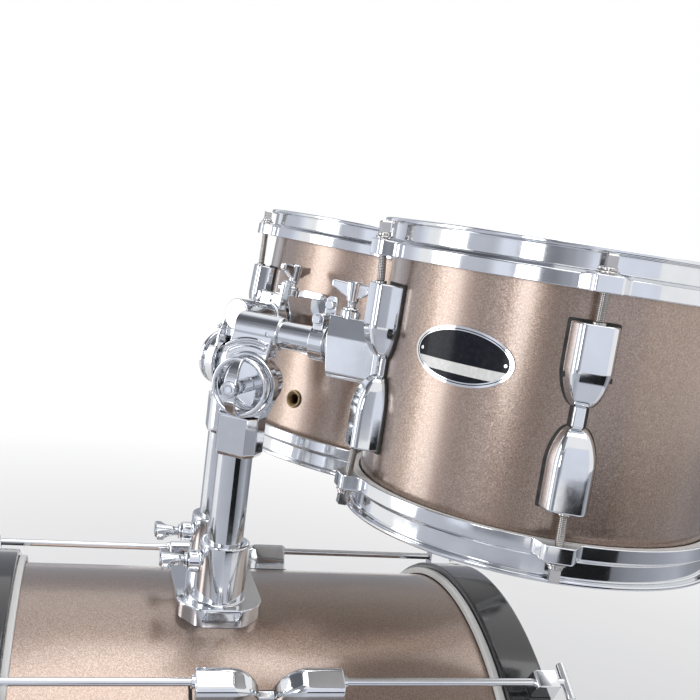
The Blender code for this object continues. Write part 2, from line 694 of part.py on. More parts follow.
def tom_bracket(radius):
    """Housing that the arm runs through, on a plate that follows the shell.

    X = 0 is the shell's surface, the housing stands out towards -X, and Z = 0 is the arm's axis.
    """
    section = [(-BRACKET_BOTTOM_HALF, -BRACKET_BOTTOM), (BRACKET_BOTTOM_HALF, -BRACKET_BOTTOM),
               (BRACKET_HALF, -BRACKET_KNEE), (BRACKET_HALF, BRACKET_SHOULDER),
               (BRACKET_TOP_HALF, BRACKET_TOP), (-BRACKET_TOP_HALF, BRACKET_TOP),
               (-BRACKET_HALF, BRACKET_SHOULDER), (-BRACKET_HALF, -BRACKET_KNEE)]
    rake = BRACKET_RAKE / (BRACKET_TOP + BRACKET_BOTTOM)
    made = loft("bracket", [
        [(-BRACKET_LENGTH + rake * (BRACKET_TOP - z), y, z) for y, z in section],
        [(SINK, y, z) for y, z in section]])
    plate = octagon(PLATE_HALF_WIDTH, PLATE_HALF_HEIGHT, PLATE_CORNER)
    fuse(made,
         prism("plate", plate, -PLATE_THICKNESS, SINK, "YZX"),
         bar("boss", (-WING_OFFSET, 0, ARM_RADIUS + SINK), (-WING_OFFSET, 0, BOSS_TOP),
             WING_BOSS, BOLT_SIDES))
    seat = shell_seat(radius, TOM_STEPS, BRACKET_LENGTH)
    return carve(made, shaped(seat, Matrix.Scale(-1.0, 4, (1.0, 0.0, 0.0))),
                 bar("bore", (-2 * BRACKET_LENGTH, 0, 0), (2 * SINK, 0, 0),
                     ARM_RADIUS + GAP, TUBE_SIDES),
                 bar("tap", (-WING_OFFSET, 0, 0), (-WING_OFFSET, 0, 2 * BOSS_TOP),
                     WING_BOLT_RADIUS + GAP, BOLT_SIDES))


def tom_arm():
    """Plain tube from the sleeve's closed end to inside the tom. Tilt frame."""
    inside = ARM_RADIUS - ARM_WALL
    made = lathe("arm", [(ARM_RADIUS, 0.0), (ARM_RADIUS, ARM_LENGTH),
                         (inside, ARM_LENGTH), (inside, 0.0)], TUBE_SIDES)
    shaped(made, Matrix.Rotation(math.pi / 2, 4, "Y"))
    return shaped(made, Matrix.Translation((BORE_START + GAP, 0.0, ARM_RISE)))


def memory_lock():
    """Collar on the arm with its upright ear, key bolt and locating pin. X = 0 at its middle."""
    half = LOCK_WIDTH / 2
    back = -LOCK_EAR_SIDE - LOCK_EAR_THICKNESS
    ear = [(-half + LOCK_EAR_TAPER / 2, LOCK_ROOT), (half - LOCK_EAR_TAPER / 2, LOCK_ROOT),
           (half - LOCK_EAR_TAPER, LOCK_EAR_TOP), (-half + LOCK_EAR_TAPER, LOCK_EAR_TOP)]
    made = bar("collar", (-half, 0, 0), (half, 0, 0), LOCK_RADIUS, TUBE_SIDES)
    fuse(made,
         prism("ear", ear, back, -LOCK_EAR_SIDE, "XZY"),
         block("saddle", (-half + LOCK_EAR_TAPER, -LOCK_EAR_SIDE - GAP, LOCK_ROOT),
               (half - LOCK_EAR_TAPER, LOCK_SADDLE_SIDE, LOCK_SADDLE_TOP)),
         bar("key", (0, 0, LOCK_KEY_HEIGHT), (0, LOCK_RADIUS + LOCK_KEY_REACH, LOCK_KEY_HEIGHT),
             LOCK_KEY, BOLT_SIDES),
         bar("pin", (0, back + GAP, LOCK_PIN_HEIGHT), (0, -LOCK_PIN_SIDE, LOCK_PIN_HEIGHT),
             LOCK_PIN, THIN_SIDES))
    return carve(made, bar("bore", (-LOCK_WIDTH, 0, 0), (LOCK_WIDTH, 0, 0),
                           ARM_RADIUS + GAP, TUBE_SIDES))


# Tilter

def crown(x, base, root, tip):
    """Ring of radial teeth on a disc's face, about an axis along Y at the given X."""
    loops = []
    for i in range(2 * TEETH):
        angle = math.pi * i / TEETH
        height = tip if i % 2 else root
        loops.append([(x + radius * math.cos(angle), y, radius * math.sin(angle))
                      for radius, y in ((TOOTH_INNER, base), (TOOTH_OUTER, base),
                                        (TOOTH_OUTER, height), (TOOTH_INNER, height))])
    return loft("crown", loops, cyclic=True)


def tilt_casting():
    """Sleeve for the arm, web and a cupped disc with ratchet teeth behind it. Tilt frame."""
    made = bar("sleeve", (SLEEVE_START, 0, ARM_RISE), (SLEEVE_END, 0, ARM_RISE),
               SLEEVE_RADIUS, TUBE_SIDES)
    foot = WEB_FOOT * CUP_RADIUS
    web = [(SLEEVE_START + GAP, ARM_RISE), (WEB_SHOULDER_X, WEB_SHOULDER_Z)]
    web += [(foot * math.cos(turn), foot * math.sin(turn)) for turn in map(math.radians, WEB_FOOT_ANGLES)]
    web += [(WEB_WAIST_X, WEB_WAIST_Z), (SLEEVE_END - SLEEVE_END_WALL, ARM_RISE)]
    fuse(made,
         prism("web", web, CUP_BACK, CUP_BACK + WEB_THICKNESS, "XZY"),
         block("saddle", (BORE_START, -SADDLE_HALF, SADDLE_BOTTOM),
               (BORE_START + SADDLE_LENGTH, CUP_BACK + WEB_THICKNESS / 2, ARM_RISE)),
         bar("cup", (0, CUP_BACK, 0), (0, CUP_FRONT, 0), CUP_RADIUS, DISC_SIDES),
         crown(0.0, CUP_BACK + TOOTH_HEIGHT, CUP_BACK - TOOTH_LAND, CUP_BACK - TOOTH_HEIGHT))
    dish = CUP_RADIUS - CUP_RIM
    return carve(
        made,
        stepped_bar("dish", (0, CUP_BACK, 0), (0, 1, 0), (
            (CUP_FLOOR, dish - CUP_FLARE), (CUP_DEPTH, dish + CUP_FLARE),
            (2 * CUP_DEPTH, dish + CUP_FLARE)), DISC_SIDES),
        bar("pivot", (0, 0, 0), (0, 2 * CUP_FRONT, 0), PIVOT_BOLT + GAP, BOLT_SIDES),
        bar("bore", (BORE_START, 0, ARM_RISE), (2 * SLEEVE_END, 0, ARM_RISE),
            ARM_RADIUS + GAP, TUBE_SIDES),
        bar("screw_hole", (SET_SCREW_PLACE, 0, ARM_RISE),
            (SET_SCREW_PLACE, 2 * SLEEVE_RADIUS, ARM_RISE), SET_SCREW, THIN_SIDES))


def swivel_casting():
    """Clamp for the post, neck, toothed disc and pivot bolt. Swivel frame."""
    bottom, top = -CLAMP_BOTTOM, -CLAMP_TOP
    plan = [(-CLAMP_FACE_LEFT, CLAMP_FACE)]
    plan += [(CLAMP_RADIUS * math.cos(turn), CLAMP_RADIUS * math.sin(turn))
             for turn in map(math.radians, CLAMP_BACK_ANGLES)]
    plan += [(across * CLAMP_RIGHT, along * CLAMP_RADIUS) for across, along in CLAMP_FLANK]
    plan += [(CLAMP_FACE_RIGHT, CLAMP_FACE)]
    made = loft("clamp", [[(CLAMP_TAPER * x, CLAMP_TAPER * y, bottom) for x, y in plan],
                          [(x, y, bottom + CLAMP_CHAMFER) for x, y in plan],
                          [(x, y, top) for x, y in plan]])
    axis = TILT_FORWARD
    foot, wide, slim = top - CLAMP_CHAMFER, NECK_WIDTH * DISC_RADIUS, NECK_TOP * DISC_RADIUS
    shoulder = -NECK_SHOULDER * DISC_RADIUS
    neck = [(-NECK_WIDTH * CLAMP_RADIUS, foot), (NECK_WIDTH * CLAMP_RIGHT, foot), (axis + wide, shoulder),
            (axis + slim, 0.0), (axis - slim, 0.0), (axis - wide, shoulder)]
    fuse(made,
         prism("neck", neck, NECK_INSET - DISC_BACK, DISC_FRONT - NECK_INSET, "XZY"),
         bar("disc", (axis, -DISC_BACK, 0), (axis, DISC_FRONT, 0), DISC_RADIUS, DISC_SIDES),
         crown(axis, DISC_FRONT - TOOTH_HEIGHT, DISC_FRONT + TOOTH_LAND, DISC_FRONT + TOOTH_HEIGHT),
         bar("bolt", (axis, -DISC_BACK, 0), (axis, KNOB_FRONT - KNOB_CAP - GAP, 0),
             PIVOT_BOLT, BOLT_SIDES),
         bar("bolt_head", (axis, -DISC_BACK - PIVOT_HEAD_HEIGHT, 0), (axis, GAP - DISC_BACK, 0),
             PIVOT_HEAD, THIN_SIDES))
    return carve(
        made,
        bar("socket", (0, 0, 2 * bottom), (0, 0, bottom + POST_INSERT + GAP),
            POST_RADIUS + GAP, TUBE_SIDES),
        block("slot", (-CLAMP_SLOT / 2, -2 * CLAMP_RADIUS, bottom - GAP),
              (CLAMP_SLOT / 2, 0, bottom + CLAMP_SLOT_HEIGHT)))


def ring_knob():
    """Ring on an arched cross-bar, whose hub runs on the pivot bolt. Tilt frame."""
    half = RING_DEPTH / 2
    inside = RING_RADIUS - RING_WIDTH
    ring = lathe("ring", [(RING_RADIUS, -half), (RING_RADIUS, half), (inside, half), (inside, -half)],
                 DISC_SIDES)
    middle = RING_BACK + half
    made = shaped(ring, Matrix.Translation((0, middle, 0)) @ Matrix.Rotation(math.pi / 2, 4, "X"))
    reach = RING_RADIUS - RING_WIDTH / 2
    rise = KNOB_FRONT - BAIL_THICKNESS - middle
    stations = []
    for share in BAIL_ROWS:
        arch = math.sqrt(1.0 - share * share)
        width = BAIL_NARROW + (BAIL_WIDE - BAIL_NARROW) * arch
        y, z = middle + rise * arch, reach * share
        lean = Vector((0.0, arch, share)).normalized() * BAIL_THICKNESS / 2
        stations.append([(-width, y - lean.y, z - lean.z), (width, y - lean.y, z - lean.z),
                         (width, y + lean.y, z + lean.z), (-width, y + lean.y, z + lean.z)])
    fuse(made, loft("bail", stations),
         stepped_bar("hub", (0, 0, 0), (0, 1, 0), (
             (CUP_BACK + CUP_FLOOR + GAP, KNOB_SLEEVE), (KNOB_FRONT - KNOB_HUB_DEPTH, KNOB_SLEEVE),
             (KNOB_FRONT - KNOB_HUB_DEPTH, KNOB_HUB), (KNOB_FRONT, KNOB_HUB)), BOLT_SIDES))
    return carve(made, bar("thread", (0, 0, 0), (0, KNOB_FRONT - KNOB_CAP, 0),
                           PIVOT_BOLT + GAP, BOLT_SIDES))


# Post bracket and spurs

def post_bracket():
    """Plate on the bass drum with a sleeve and a boss for each post. Origin on the drum's axis."""
    top = BASS_RADIUS + MOUNT_PLATE
    made = prism("plate", octagon(MOUNT_HALF_X, MOUNT_HALF_Y, MOUNT_CORNER),
                 BASS_RADIUS - MOUNT_SINK, top)
    posts = [sign * POST_SPACING / 2 for sign in (-1, 1)]
    wing = BASS_RADIUS + MOUNT_WING_HEIGHT
    for x in posts:
        fuse(made,
             bar("sleeve", (x, 0, BASS_RADIUS), (x, 0, BASS_RADIUS + MOUNT_HEIGHT),
                 MOUNT_SLEEVE, TUBE_SIDES),
             bar("boss", (x, 0, wing), (x, -MOUNT_BOSS_REACH, wing), MOUNT_BOSS, BOLT_SIDES))
    fuse(made, block("web", (posts[0], -MOUNT_WEB_HALF, BASS_RADIUS),
                     (posts[1], MOUNT_WEB_HALF, BASS_RADIUS + MOUNT_WEB_HEIGHT)))
    seat = circle(BASS_RADIUS + GAP, BASS_STEPS, BASS_TURN)
    carve(made, prism("seat", seat, -2 * MOUNT_HALF_Y, 2 * MOUNT_HALF_Y, "XZY"))
    for x in posts:
        carve(made,
              bar("bore", (x, 0, 0), (x, 0, 2 * BASS_RADIUS), POST_RADIUS + GAP, TUBE_SIDES),
              bar("tap", (x, 0, wing), (x, -2 * MOUNT_BOSS_REACH, wing),
                  WING_BOLT_RADIUS + GAP, BOLT_SIDES))
    return made


def spur_bracket():
    """Plate, boss and capped pin that the leg folds on. Shell frame."""
    hub = SPUR_STANDOFF + GAP + SPUR_HUB_DEPTH + GAP
    half = SPUR_PLATE_HALF
    made = prism("plate", octagon(half, half, SPUR_CORNER), -SINK, SPUR_PLATE, "YZX")
    fuse(made, stepped_bar("boss", (0, 0, 0), (1, 0, 0), (
        (0.0, SPUR_BOSS), (SPUR_STANDOFF, SPUR_BOSS), (SPUR_STANDOFF, SPUR_PIN), (hub, SPUR_PIN),
        (hub, SPUR_CAP), (hub + SPUR_CAP_HEIGHT, SPUR_CAP)), BOLT_SIDES))
    return carve(made, shell_seat(BASS_RADIUS, BASS_STEPS, 2 * half, BASS_TURN))


def spur_leg(outward, run, length):
    """Hub on the fold pin and a rod down to the foot. World directions, origin in the hub."""
    half = SPUR_HUB_DEPTH / 2
    made = bar("hub", -half * outward, half * outward, SPUR_HUB, TUBE_SIDES)
    fuse(made, bar("rod", (0, 0, 0), length * run, SPUR_LEG, BOLT_SIDES))
    return carve(made, bar("bore", -2 * half * outward, 2 * half * outward,
                           SPUR_PIN + GAP, BOLT_SIDES))


def spur_foot(run, length, floor):
    """Rubber tip in line with the leg, cut flat where it stands."""
    made = bar("tip", (length - FOOT_LENGTH + FOOT_SOLE) * run, (length + 2 * FOOT_LENGTH) * run,
               FOOT_RADIUS, TUBE_SIDES)
    reach = 4 * FOOT_LENGTH
    end = length * run
    return carve(made,
                 block("ground", (end.x - reach, end.y - reach, floor - reach),
                       (end.x + reach, end.y + reach, floor)),
                 bar("bore", (length - 2 * FOOT_LENGTH) * run, (length + GAP) * run,
                     SPUR_LEG + GAP, BOLT_SIDES))


# Assembly

def build_bass(kit, look):
    drum = frame("bass_drum", kit, (0, BASS_BEHIND, BASS_HEIGHT), (math.pi / 2, 0, 0))
    made = shell(BASS_RADIUS, BASS_DEPTH, BASS_WALL, BASS_STEPS, BASS_TURN)
    for sign in (-1, 1):                       # the posts drop through the top of the shell
        x = sign * POST_SPACING / 2
        carve(made, bar("hole", (x, 0, BASS_BEHIND), (x, 2 * BASS_RADIUS, BASS_BEHIND),
                        POST_HOLE, BOLT_SIDES))
    place(made, "bass_drum_shell", drum, look["lacquer"])
    edge = BASS_DEPTH / 2
    rear_turn = (math.pi, 0, 0)
    film = place(head(BASS_RADIUS, BASS_STEPS, BASS_TURN), "bass_drum_front_head", drum,
                 look["film"], (0, 0, edge))
    twin(film, "bass_drum_rear_head", (0, 0, -edge), rear_turn)
    inside = BASS_RADIUS + BASS_HOOP_INSIDE
    rim = lathe("hoop", [(inside, BASS_HOOP_BACK), (BASS_HOOP_RADIUS, BASS_HOOP_BACK),
                         (BASS_HOOP_RADIUS, BASS_HOOP_FRONT), (inside, BASS_HOOP_FRONT)],
                BASS_STEPS, BASS_TURN)
    place(rim, "bass_drum_front_hoop", drum, look["hoop"])
    twin(rim, "bass_drum_rear_hoop", rotation=rear_turn)
    lug = None
    for i in range(BASS_LUGS):
        spot = on_shell(BASS_RADIUS, TWO_PI * i / BASS_LUGS, 0.0)
        name = f"bass_drum_lug_{i + 1}"
        if lug:
            lug = twin(lug, name, *spot)
        else:
            lug = place(bass_lug(), name, drum, look["chrome"], *spot)
    place(post_bracket(), "post_bracket", kit, look["chrome"], (0, 0, BASS_HEIGHT))
    wing_height = BASS_HEIGHT + BASS_RADIUS + MOUNT_WING_HEIGHT
    for side in SIDES:
        place(wing_bolt(POST_RADIUS + GAP, MOUNT_BOSS_REACH), f"{side.name}_post_wing_bolt", kit,
              look["chrome"], (side.sign * POST_SPACING / 2, 0, wing_height), (math.pi / 2, 0, 0))
        build_spur(side, kit, drum, look)


def build_spur(side, kit, drum, look):
    angle = math.radians(SPUR_ANGLE)
    around = -angle if side.sign > 0 else math.pi + angle
    place(spur_bracket(), f"{side.name}_spur_bracket", drum, look["chrome"],
          *on_shell(BASS_RADIUS, around, SPUR_AHEAD))
    outward = Vector((side.sign * math.cos(angle), 0.0, -math.sin(angle)))
    pivot = Vector((0.0, BASS_BEHIND - SPUR_AHEAD, BASS_HEIGHT))
    pivot += outward * (BASS_RADIUS + SPUR_STANDOFF + GAP + SPUR_HUB_DEPTH / 2)
    lean, rake = math.tan(math.radians(SPUR_LEAN)), math.tan(math.radians(SPUR_RAKE))
    run = Vector((side.sign * lean, -rake, -1.0)).normalized()
    length = (FOOT_SOLE - pivot.z) / run.z
    fold = frame(f"{side.name}_spur", kit, pivot)
    place(spur_leg(outward, run, length), f"{side.name}_spur_leg", fold, look["chrome"])
    place(spur_foot(run, length, -pivot.z), f"{side.name}_spur_foot", fold, look["rubber"])


def build_tilter(side, kit, look):
    """Post, tilter, arm and memory lock; returns the frame that the tom hangs in."""
    chrome = look["chrome"]
    post = frame(f"{side.name}_post_slide", kit, (side.sign * POST_SPACING / 2, 0, 0))
    low = BASS_HEIGHT + BASS_RADIUS - POST_BELOW_SHELL
    high = TILT_HEIGHT - CLAMP_BOTTOM + POST_INSERT
    inside = POST_RADIUS - POST_WALL
    tube = lathe("post", [(POST_RADIUS, low), (POST_RADIUS, high), (inside, high), (inside, low)],
                 TUBE_SIDES)
    place(tube, f"{side.name}_post", post, chrome)
    heading = math.radians(90 - side.sign * side.splay)
    swivel = frame(f"{side.name}_swivel", post, (0, 0, TILT_HEIGHT), (0, 0, heading))
    place(handed(swivel_casting(), side), f"{side.name}_swivel_casting", swivel, chrome)
    tilt = frame(f"{side.name}_tilt", swivel, (TILT_FORWARD, 0, 0), (0, math.radians(side.tilt), 0))
    place(handed(tilt_casting(), side), f"{side.name}_tilt_casting", tilt, chrome)
    place(handed(ring_knob(), side), f"{side.name}_ring_knob", tilt, chrome)
    place(tom_arm(), f"{side.name}_tom_arm", tilt, chrome)
    mouth = side.reach - side.radius - BRACKET_LENGTH
    lock = frame(f"{side.name}_lock", tilt, (mouth - GAP - LOCK_WIDTH / 2, 0, ARM_RISE),
                 (math.radians(side.roll), 0, 0))
    place(handed(memory_lock(), side), f"{side.name}_memory_lock", lock, chrome)
    return frame(f"{side.name}_tom_slide", lock, (side.reach - mouth + GAP + LOCK_WIDTH / 2, 0, 0))


def build_tom(side, hanger, look):
    """A tom and its bracket; the hanger's X axis is the arm's."""
    chrome, radius, half = look["chrome"], side.radius, side.depth / 2
    place(tom_bracket(radius), f"{side.tom}_bracket", hanger, chrome, (-radius, 0, 0))
    place(wing_bolt(ARM_RADIUS + GAP, BOSS_TOP), f"{side.tom}_wing_bolt", hanger, chrome,
          (-radius - WING_OFFSET, 0, 0))
    drum = frame(side.tom, hanger, (0, 0, side.drop))
    vent_height = VENT_RISE - side.depth
    made = shell(radius, side.depth, TOM_WALL, TOM_STEPS)
    carve(made,
          bar("arm_hole", (-2 * radius, 0, half - side.drop), (0, 0, half - side.drop),
              ARM_HOLE, TUBE_SIDES),
          bar("vent_hole", (-2 * radius, 0, half + vent_height), (0, 0, half + vent_height),
              VENT_TUBE + GAP, BOLT_SIDES))
    place(made, f"{side.tom}_shell", drum, look["lacquer"], (0, 0, -half))
    film = place(head(radius, TOM_STEPS), f"{side.tom}_batter_head", drum, look["film"])
    hoop = place(tom_hoop(radius), f"{side.tom}_batter_hoop", drum, chrome)
    for top, name in ((film, "resonant_head"), (hoop, "resonant_hoop")):
        twin(top, f"{side.tom}_{name}", (0, 0, -side.depth), (math.pi, 0, 0))
    lug = None
    for i in range(TOM_LUGS):
        spot = on_shell(radius, TWO_PI * i / TOM_LUGS, -half)
        name = f"{side.tom}_lug_{i + 1}"
        if lug:
            lug = twin(lug, name, *spot)
        else:
            lug = place(tom_lug(radius, side.depth), name, drum, chrome, *spot)
    place(vent(), f"{side.tom}_air_vent", drum, look["brass"],
          *on_shell(radius, BRACKET_TURN, vent_height))
    if side.tom == "high_tom":
        place(badge(radius), f"{side.tom}_badge", drum, look["badge"],
              (0, 0, -BADGE_DROP), (0, 0, BADGE_TURN))


def stand_on_origin(kit):
    """Bring the middle of the kit's footprint to the origin, with its lowest point at Z = 0."""
    bpy.context.view_layer.update()
    points = [made.matrix_world @ vertex.co for made in bpy.context.scene.objects
              if made.type == "MESH" for vertex in made.data.vertices]
    low = Vector([min(point[axis] for point in points) for axis in range(3)])
    high = Vector([max(point[axis] for point in points) for axis in range(3)])
    kit.location = (-(low.x + high.x) / 2, -(low.y + high.y) / 2, -low.z)


def main():
    for made in list(bpy.data.objects):
        bpy.data.objects.remove(made)
    kit = frame("drum_kit")
    look = finishes()
    build_bass(kit, look)
    for side in SIDES:
        build_tom(side, build_tilter(side, kit, look), look)
    stand_on_origin(kit)
    bpy.context.view_layer.update()


main()
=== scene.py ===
"""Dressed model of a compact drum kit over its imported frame, with the floor, lamps and camera.

Metres, +Z up. The drummer sits on the +Y side. The high tom hangs on the drummer's left (+X) and
the mid tom on the right (-X). Every piece is built in one of these frames and then placed:
- drum frame: Z runs along the shell, Z = 0 at a tom's playing edge or the bass drum's middle;
- shell frame: X points out of a shell, Z along it, and the origin is on the shell's surface;
- swivel frame: Z up the post, X along the arm, origin on the post at the tilt axis' height;
- tilt frame: origin on the tilt axis, X along the arm, Y along the axis.
The memory lock's origin is on the arm, with X along it.
Holder pieces are built for the right side and mirrored in Y for the left.
"""
import json
from collections import namedtuple
from math import copysign, cos, pi, radians, sin, sqrt

import bmesh
import bpy
from mathutils import Matrix, Vector


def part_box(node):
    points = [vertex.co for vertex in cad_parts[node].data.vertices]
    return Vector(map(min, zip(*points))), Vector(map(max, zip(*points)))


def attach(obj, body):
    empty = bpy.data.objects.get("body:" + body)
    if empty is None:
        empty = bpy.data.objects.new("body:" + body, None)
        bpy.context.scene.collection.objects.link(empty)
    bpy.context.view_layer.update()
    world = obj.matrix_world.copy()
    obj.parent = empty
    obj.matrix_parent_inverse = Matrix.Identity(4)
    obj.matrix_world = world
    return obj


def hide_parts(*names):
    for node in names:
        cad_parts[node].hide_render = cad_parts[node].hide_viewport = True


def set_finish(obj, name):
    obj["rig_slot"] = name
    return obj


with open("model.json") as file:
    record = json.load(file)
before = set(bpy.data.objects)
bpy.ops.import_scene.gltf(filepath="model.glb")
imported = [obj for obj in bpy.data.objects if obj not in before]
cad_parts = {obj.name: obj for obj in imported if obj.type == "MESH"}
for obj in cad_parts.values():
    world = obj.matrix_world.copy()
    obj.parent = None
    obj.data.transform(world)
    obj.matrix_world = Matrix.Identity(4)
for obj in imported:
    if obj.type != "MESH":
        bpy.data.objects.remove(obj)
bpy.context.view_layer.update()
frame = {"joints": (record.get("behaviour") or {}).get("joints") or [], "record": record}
JOINTS = {joint["name"]: joint for joint in frame["joints"]}

MM = 0.001
TWO_PI = 2 * pi
GAP = 0.3 * MM


def mm(*sizes):
    """Sizes in millimetres, as metres."""
    return [size * MM for size in sizes]


# Fineness
THREAD, SMALL, WASHER, ROUND, TUBE, RING, DRUM = 28, 32, 40, 64, 96, 160, 240     # facets
EAR_ROWS, SPAN_ROWS = 35, 28        # rows of a hoop beside an ear's middle, and between two ears
SHARP = radians(35.0)               # edges that turn more than this are not smoothed
WELD = 0.0005 * MM
EASED = 0.3                         # middle of an eased edge, as a share of its size

# Tom shells and heads
HIGH_RADIUS, HIGH_DEPTH, HIGH_DROP = mm(127.0, 178.0, 89.5)
MID_RADIUS, MID_DEPTH, MID_DROP = mm(152.4, 203.0, 86.2)
TOM_WALL = 7.2 * MM
TOM_LUGS = 5
EDGE, EDGE_SLOPE = mm(1.6, 5.0)
FILM = 0.4 * MM
COLLAR = 0.6 * MM
FLESH_WIDTH, FLESH_TOP, FLESH_HEIGHT = mm(6.2, 4.7, 6.0)
VENT_RISE = 42.5 * MM
ARM_HOLE, VENT_HOLE, POST_HOLE = mm(12.5, 5.9, 16.5)    # radii in the shells
VENT_FLANGE, VENT_BORE, VENT_LIP = mm(8.6, 4.4, 1.6)
BADGE_WIDTH, BADGE_HEIGHT, BADGE_DROP = mm(74.0, 38.0, 66.5)
BADGE_TURN, RIVET_PLACE = radians(252.0), 5.5 * MM

# Tom hoops: offsets outside the shell and heights over the bearing edge
HOOP_METAL = 1.6 * MM
HOOP_WALL, HOOP_LIP, HOOP_SKIRT = mm(4.5, 9.5, 10.0)
HOOP_RISE, HOOP_DROP = mm(14.8, 11.9)
LIP_HEIGHT, STEP_DROP = mm(3.0, 2.4)
EAR_REACH, EAR_HALF_WIDTH, EAR_RISE = mm(11.5, 16.0, 1.2)
EAR_FLAT, EAR_MARGIN = 0.42, 1.25   # full reach and close rows, as shares of the half width

# Lugs and rods
LUG_LENGTH, LUG_HEIGHT = mm(116.0, 18.0)
LUG_BASE_HALF, LUG_FACE_HALF = mm(15.0, 11.0)
LUG_WAIST_HALF, LUG_WAIST_HEIGHT = mm(4.5, 4.5)
LUG_BRIDGE, LUG_CURVE, LUG_FULLNESS = 12.0 * MM, 24.0 * MM, 1.7
GASKET = 1.3 * MM                   # width of gasket showing round a lug
GASKET_HEIGHT = 1.2 * MM
LUG_END = ((0.9 * MM, 0.12 * MM), (0.35 * MM, 0.45 * MM), (0.0, 1.1 * MM))    # (from the end, inset)
LUG_SOFTNESS = 0.24                 # rounding of the section, as a share of its height
NOTCH = 3.2 * MM
NOTCH_ALONG, NOTCH_UP = mm(25.0, 5.2)
ROD_RADIUS, ROD_AT_LUG, ROD_AT_HOOP = mm(2.9, 12.5, 15.0)
THREAD_PITCH, THREAD_DEPTH, THREAD_PLAIN = mm(1.1, 0.45, 6.0)
WASHER_RADIUS, WASHER_HEIGHT = mm(6.0, 1.4)
ROD_COLLAR, ROD_COLLAR_HEIGHT = mm(4.6, 2.2)
ROD_HEAD, ROD_HEAD_HEIGHT = mm(6.4, 8.0)

# Arm, bracket, wing bolts and memory lock
ARM_RADIUS, ARM_WALL, ARM_LENGTH = mm(11.1, 1.6, 142.0)
BRACKET_LENGTH, BRACKET_HALF = mm(48.0, 15.0)
BRACKET_TOP, BRACKET_TOP_HALF, BRACKET_SHOULDER = mm(24.0, 7.5, 8.0)
BRACKET_BOTTOM, BRACKET_BOTTOM_HALF, BRACKET_KNEE = mm(24.0, 11.0, 20.5)
BRACKET_RAKE = 6.0 * MM
PLATE_HALF_WIDTH, PLATE_HALF_HEIGHT = mm(22.0, 30.0)
PLATE_CORNER, PLATE_THICKNESS = mm(8.0, 4.5)
WING_OFFSET, WING_BOSS, WING_BOSS_HEIGHT = mm(34.0, 8.0, 5.0)
WING_BOLT_RADIUS, WING_FLANGE, WING_FLANGE_HEIGHT = mm(4.0, 6.5, 2.0)
WING_NECK, WING_HUB, WING_HEIGHT = mm(5.0, 6.0, 16.0)
WING_SPAN, WING_THICKNESS, WING_PITCH = mm(19.0, 5.6, 1.2)
WING_ROOT = 0.8                     # narrow end of the hub, as a share of its radius
LOCK_WIDTH, LOCK_RADIUS = mm(12.5, 15.2)
LOCK_EAR_TOP, LOCK_EAR_SIDE, LOCK_EAR_THICKNESS = mm(37.0, 9.0, 4.0)
LOCK_ROOT, LOCK_SADDLE_TOP, LOCK_SADDLE_SIDE = mm(9.1, 23.0, 13.2)
LOCK_KEY, LOCK_KEY_HEIGHT, LOCK_KEY_REACH = mm(4.6, 19.0, 4.0)
LOCK_PIN, LOCK_PIN_HEIGHT, LOCK_PIN_SIDE = mm(3.6, 30.0, 4.5)

# Posts and tilters
POST_RADIUS, POST_WALL, POST_INSERT = mm(15.0, 2.0, 30.0)
TILT_FORWARD, ARM_RISE = mm(10.7, 43.0)
SLEEVE_RADIUS, SLEEVE_START, SLEEVE_LENGTH = mm(13.6, -18.8, 38.0)
SLEEVE_END_WALL, SET_SCREW, SET_SCREW_PLACE = mm(3.2, 1.9, 11.5)
WEB_THICKNESS, WEB_FOOT = 2.8 * MM, 0.9
RIBS = ((6.2 * MM, 1.1 * MM), (10.4 * MM, 1.0 * MM))    # rise over the cup and half width
WEB_SHOULDER, WEB_WAIST = (-23.4 * MM, 20.0 * MM), (15.8 * MM, 34.4 * MM)
SADDLE_HALF, SADDLE_LENGTH, SADDLE_BOTTOM = mm(5.5, 28.5, 22.1)
CUP_RADIUS, CUP_DEPTH, CUP_RIM = mm(26.3, 9.4, 4.0)
CUP_FLOOR, CUP_FLARE = mm(3.9, 1.5)
DISC_RADIUS, DISC_BACK, DISC_FRONT = mm(20.5, 10.0, 8.4)
TEETH, TOOTH_INNER, TOOTH_OUTER, TOOTH_HEIGHT = 12, 11.0 * MM, 19.0 * MM, 0.95 * MM
TOOTH_LAND = 0.12 * MM
PIVOT_BOLT, PIVOT_PITCH, PIVOT_HEAD, PIVOT_HEAD_HEIGHT = mm(4.0, 1.25, 7.5, 5.0)
CLAMP_TOP, CLAMP_BOTTOM, CLAMP_FACE = mm(28.0, 61.5, 17.5)
CLAMP_FACE_LEFT, CLAMP_FACE_RIGHT = mm(8.5, 15.5)
CLAMP_RADIUS, CLAMP_RIGHT, CLAMP_CHAMFER, CLAMP_TAPER = 17.4 * MM, 21.3 * MM, 3.0 * MM, 0.93
CLAMP_SLOT, CLAMP_SLOT_HEIGHT = mm(2.5, 24.0)
NECK_WIDTH, NECK_TOP, NECK_SHOULDER, NECK_INSET = 0.95, 0.8, 0.3, 1.2 * MM
CUP_BACK = DISC_FRONT + 2 * TOOTH_HEIGHT + GAP
CUP_FRONT = CUP_BACK + CUP_DEPTH
RING_RADIUS, RING_WIDTH, RING_DEPTH, RING_BACK = mm(24.3, 3.6, 4.0, 26.0)
BAIL_NARROW, BAIL_WIDE, BAIL_THICKNESS = mm(2.4, 5.6, 3.4)
KNOB_HUB, KNOB_FRONT, KNOB_HUB_DEPTH = mm(6.6, 48.0, 8.0)
KNOB_SLEEVE, KNOB_CAP = mm(6.0, 2.6)

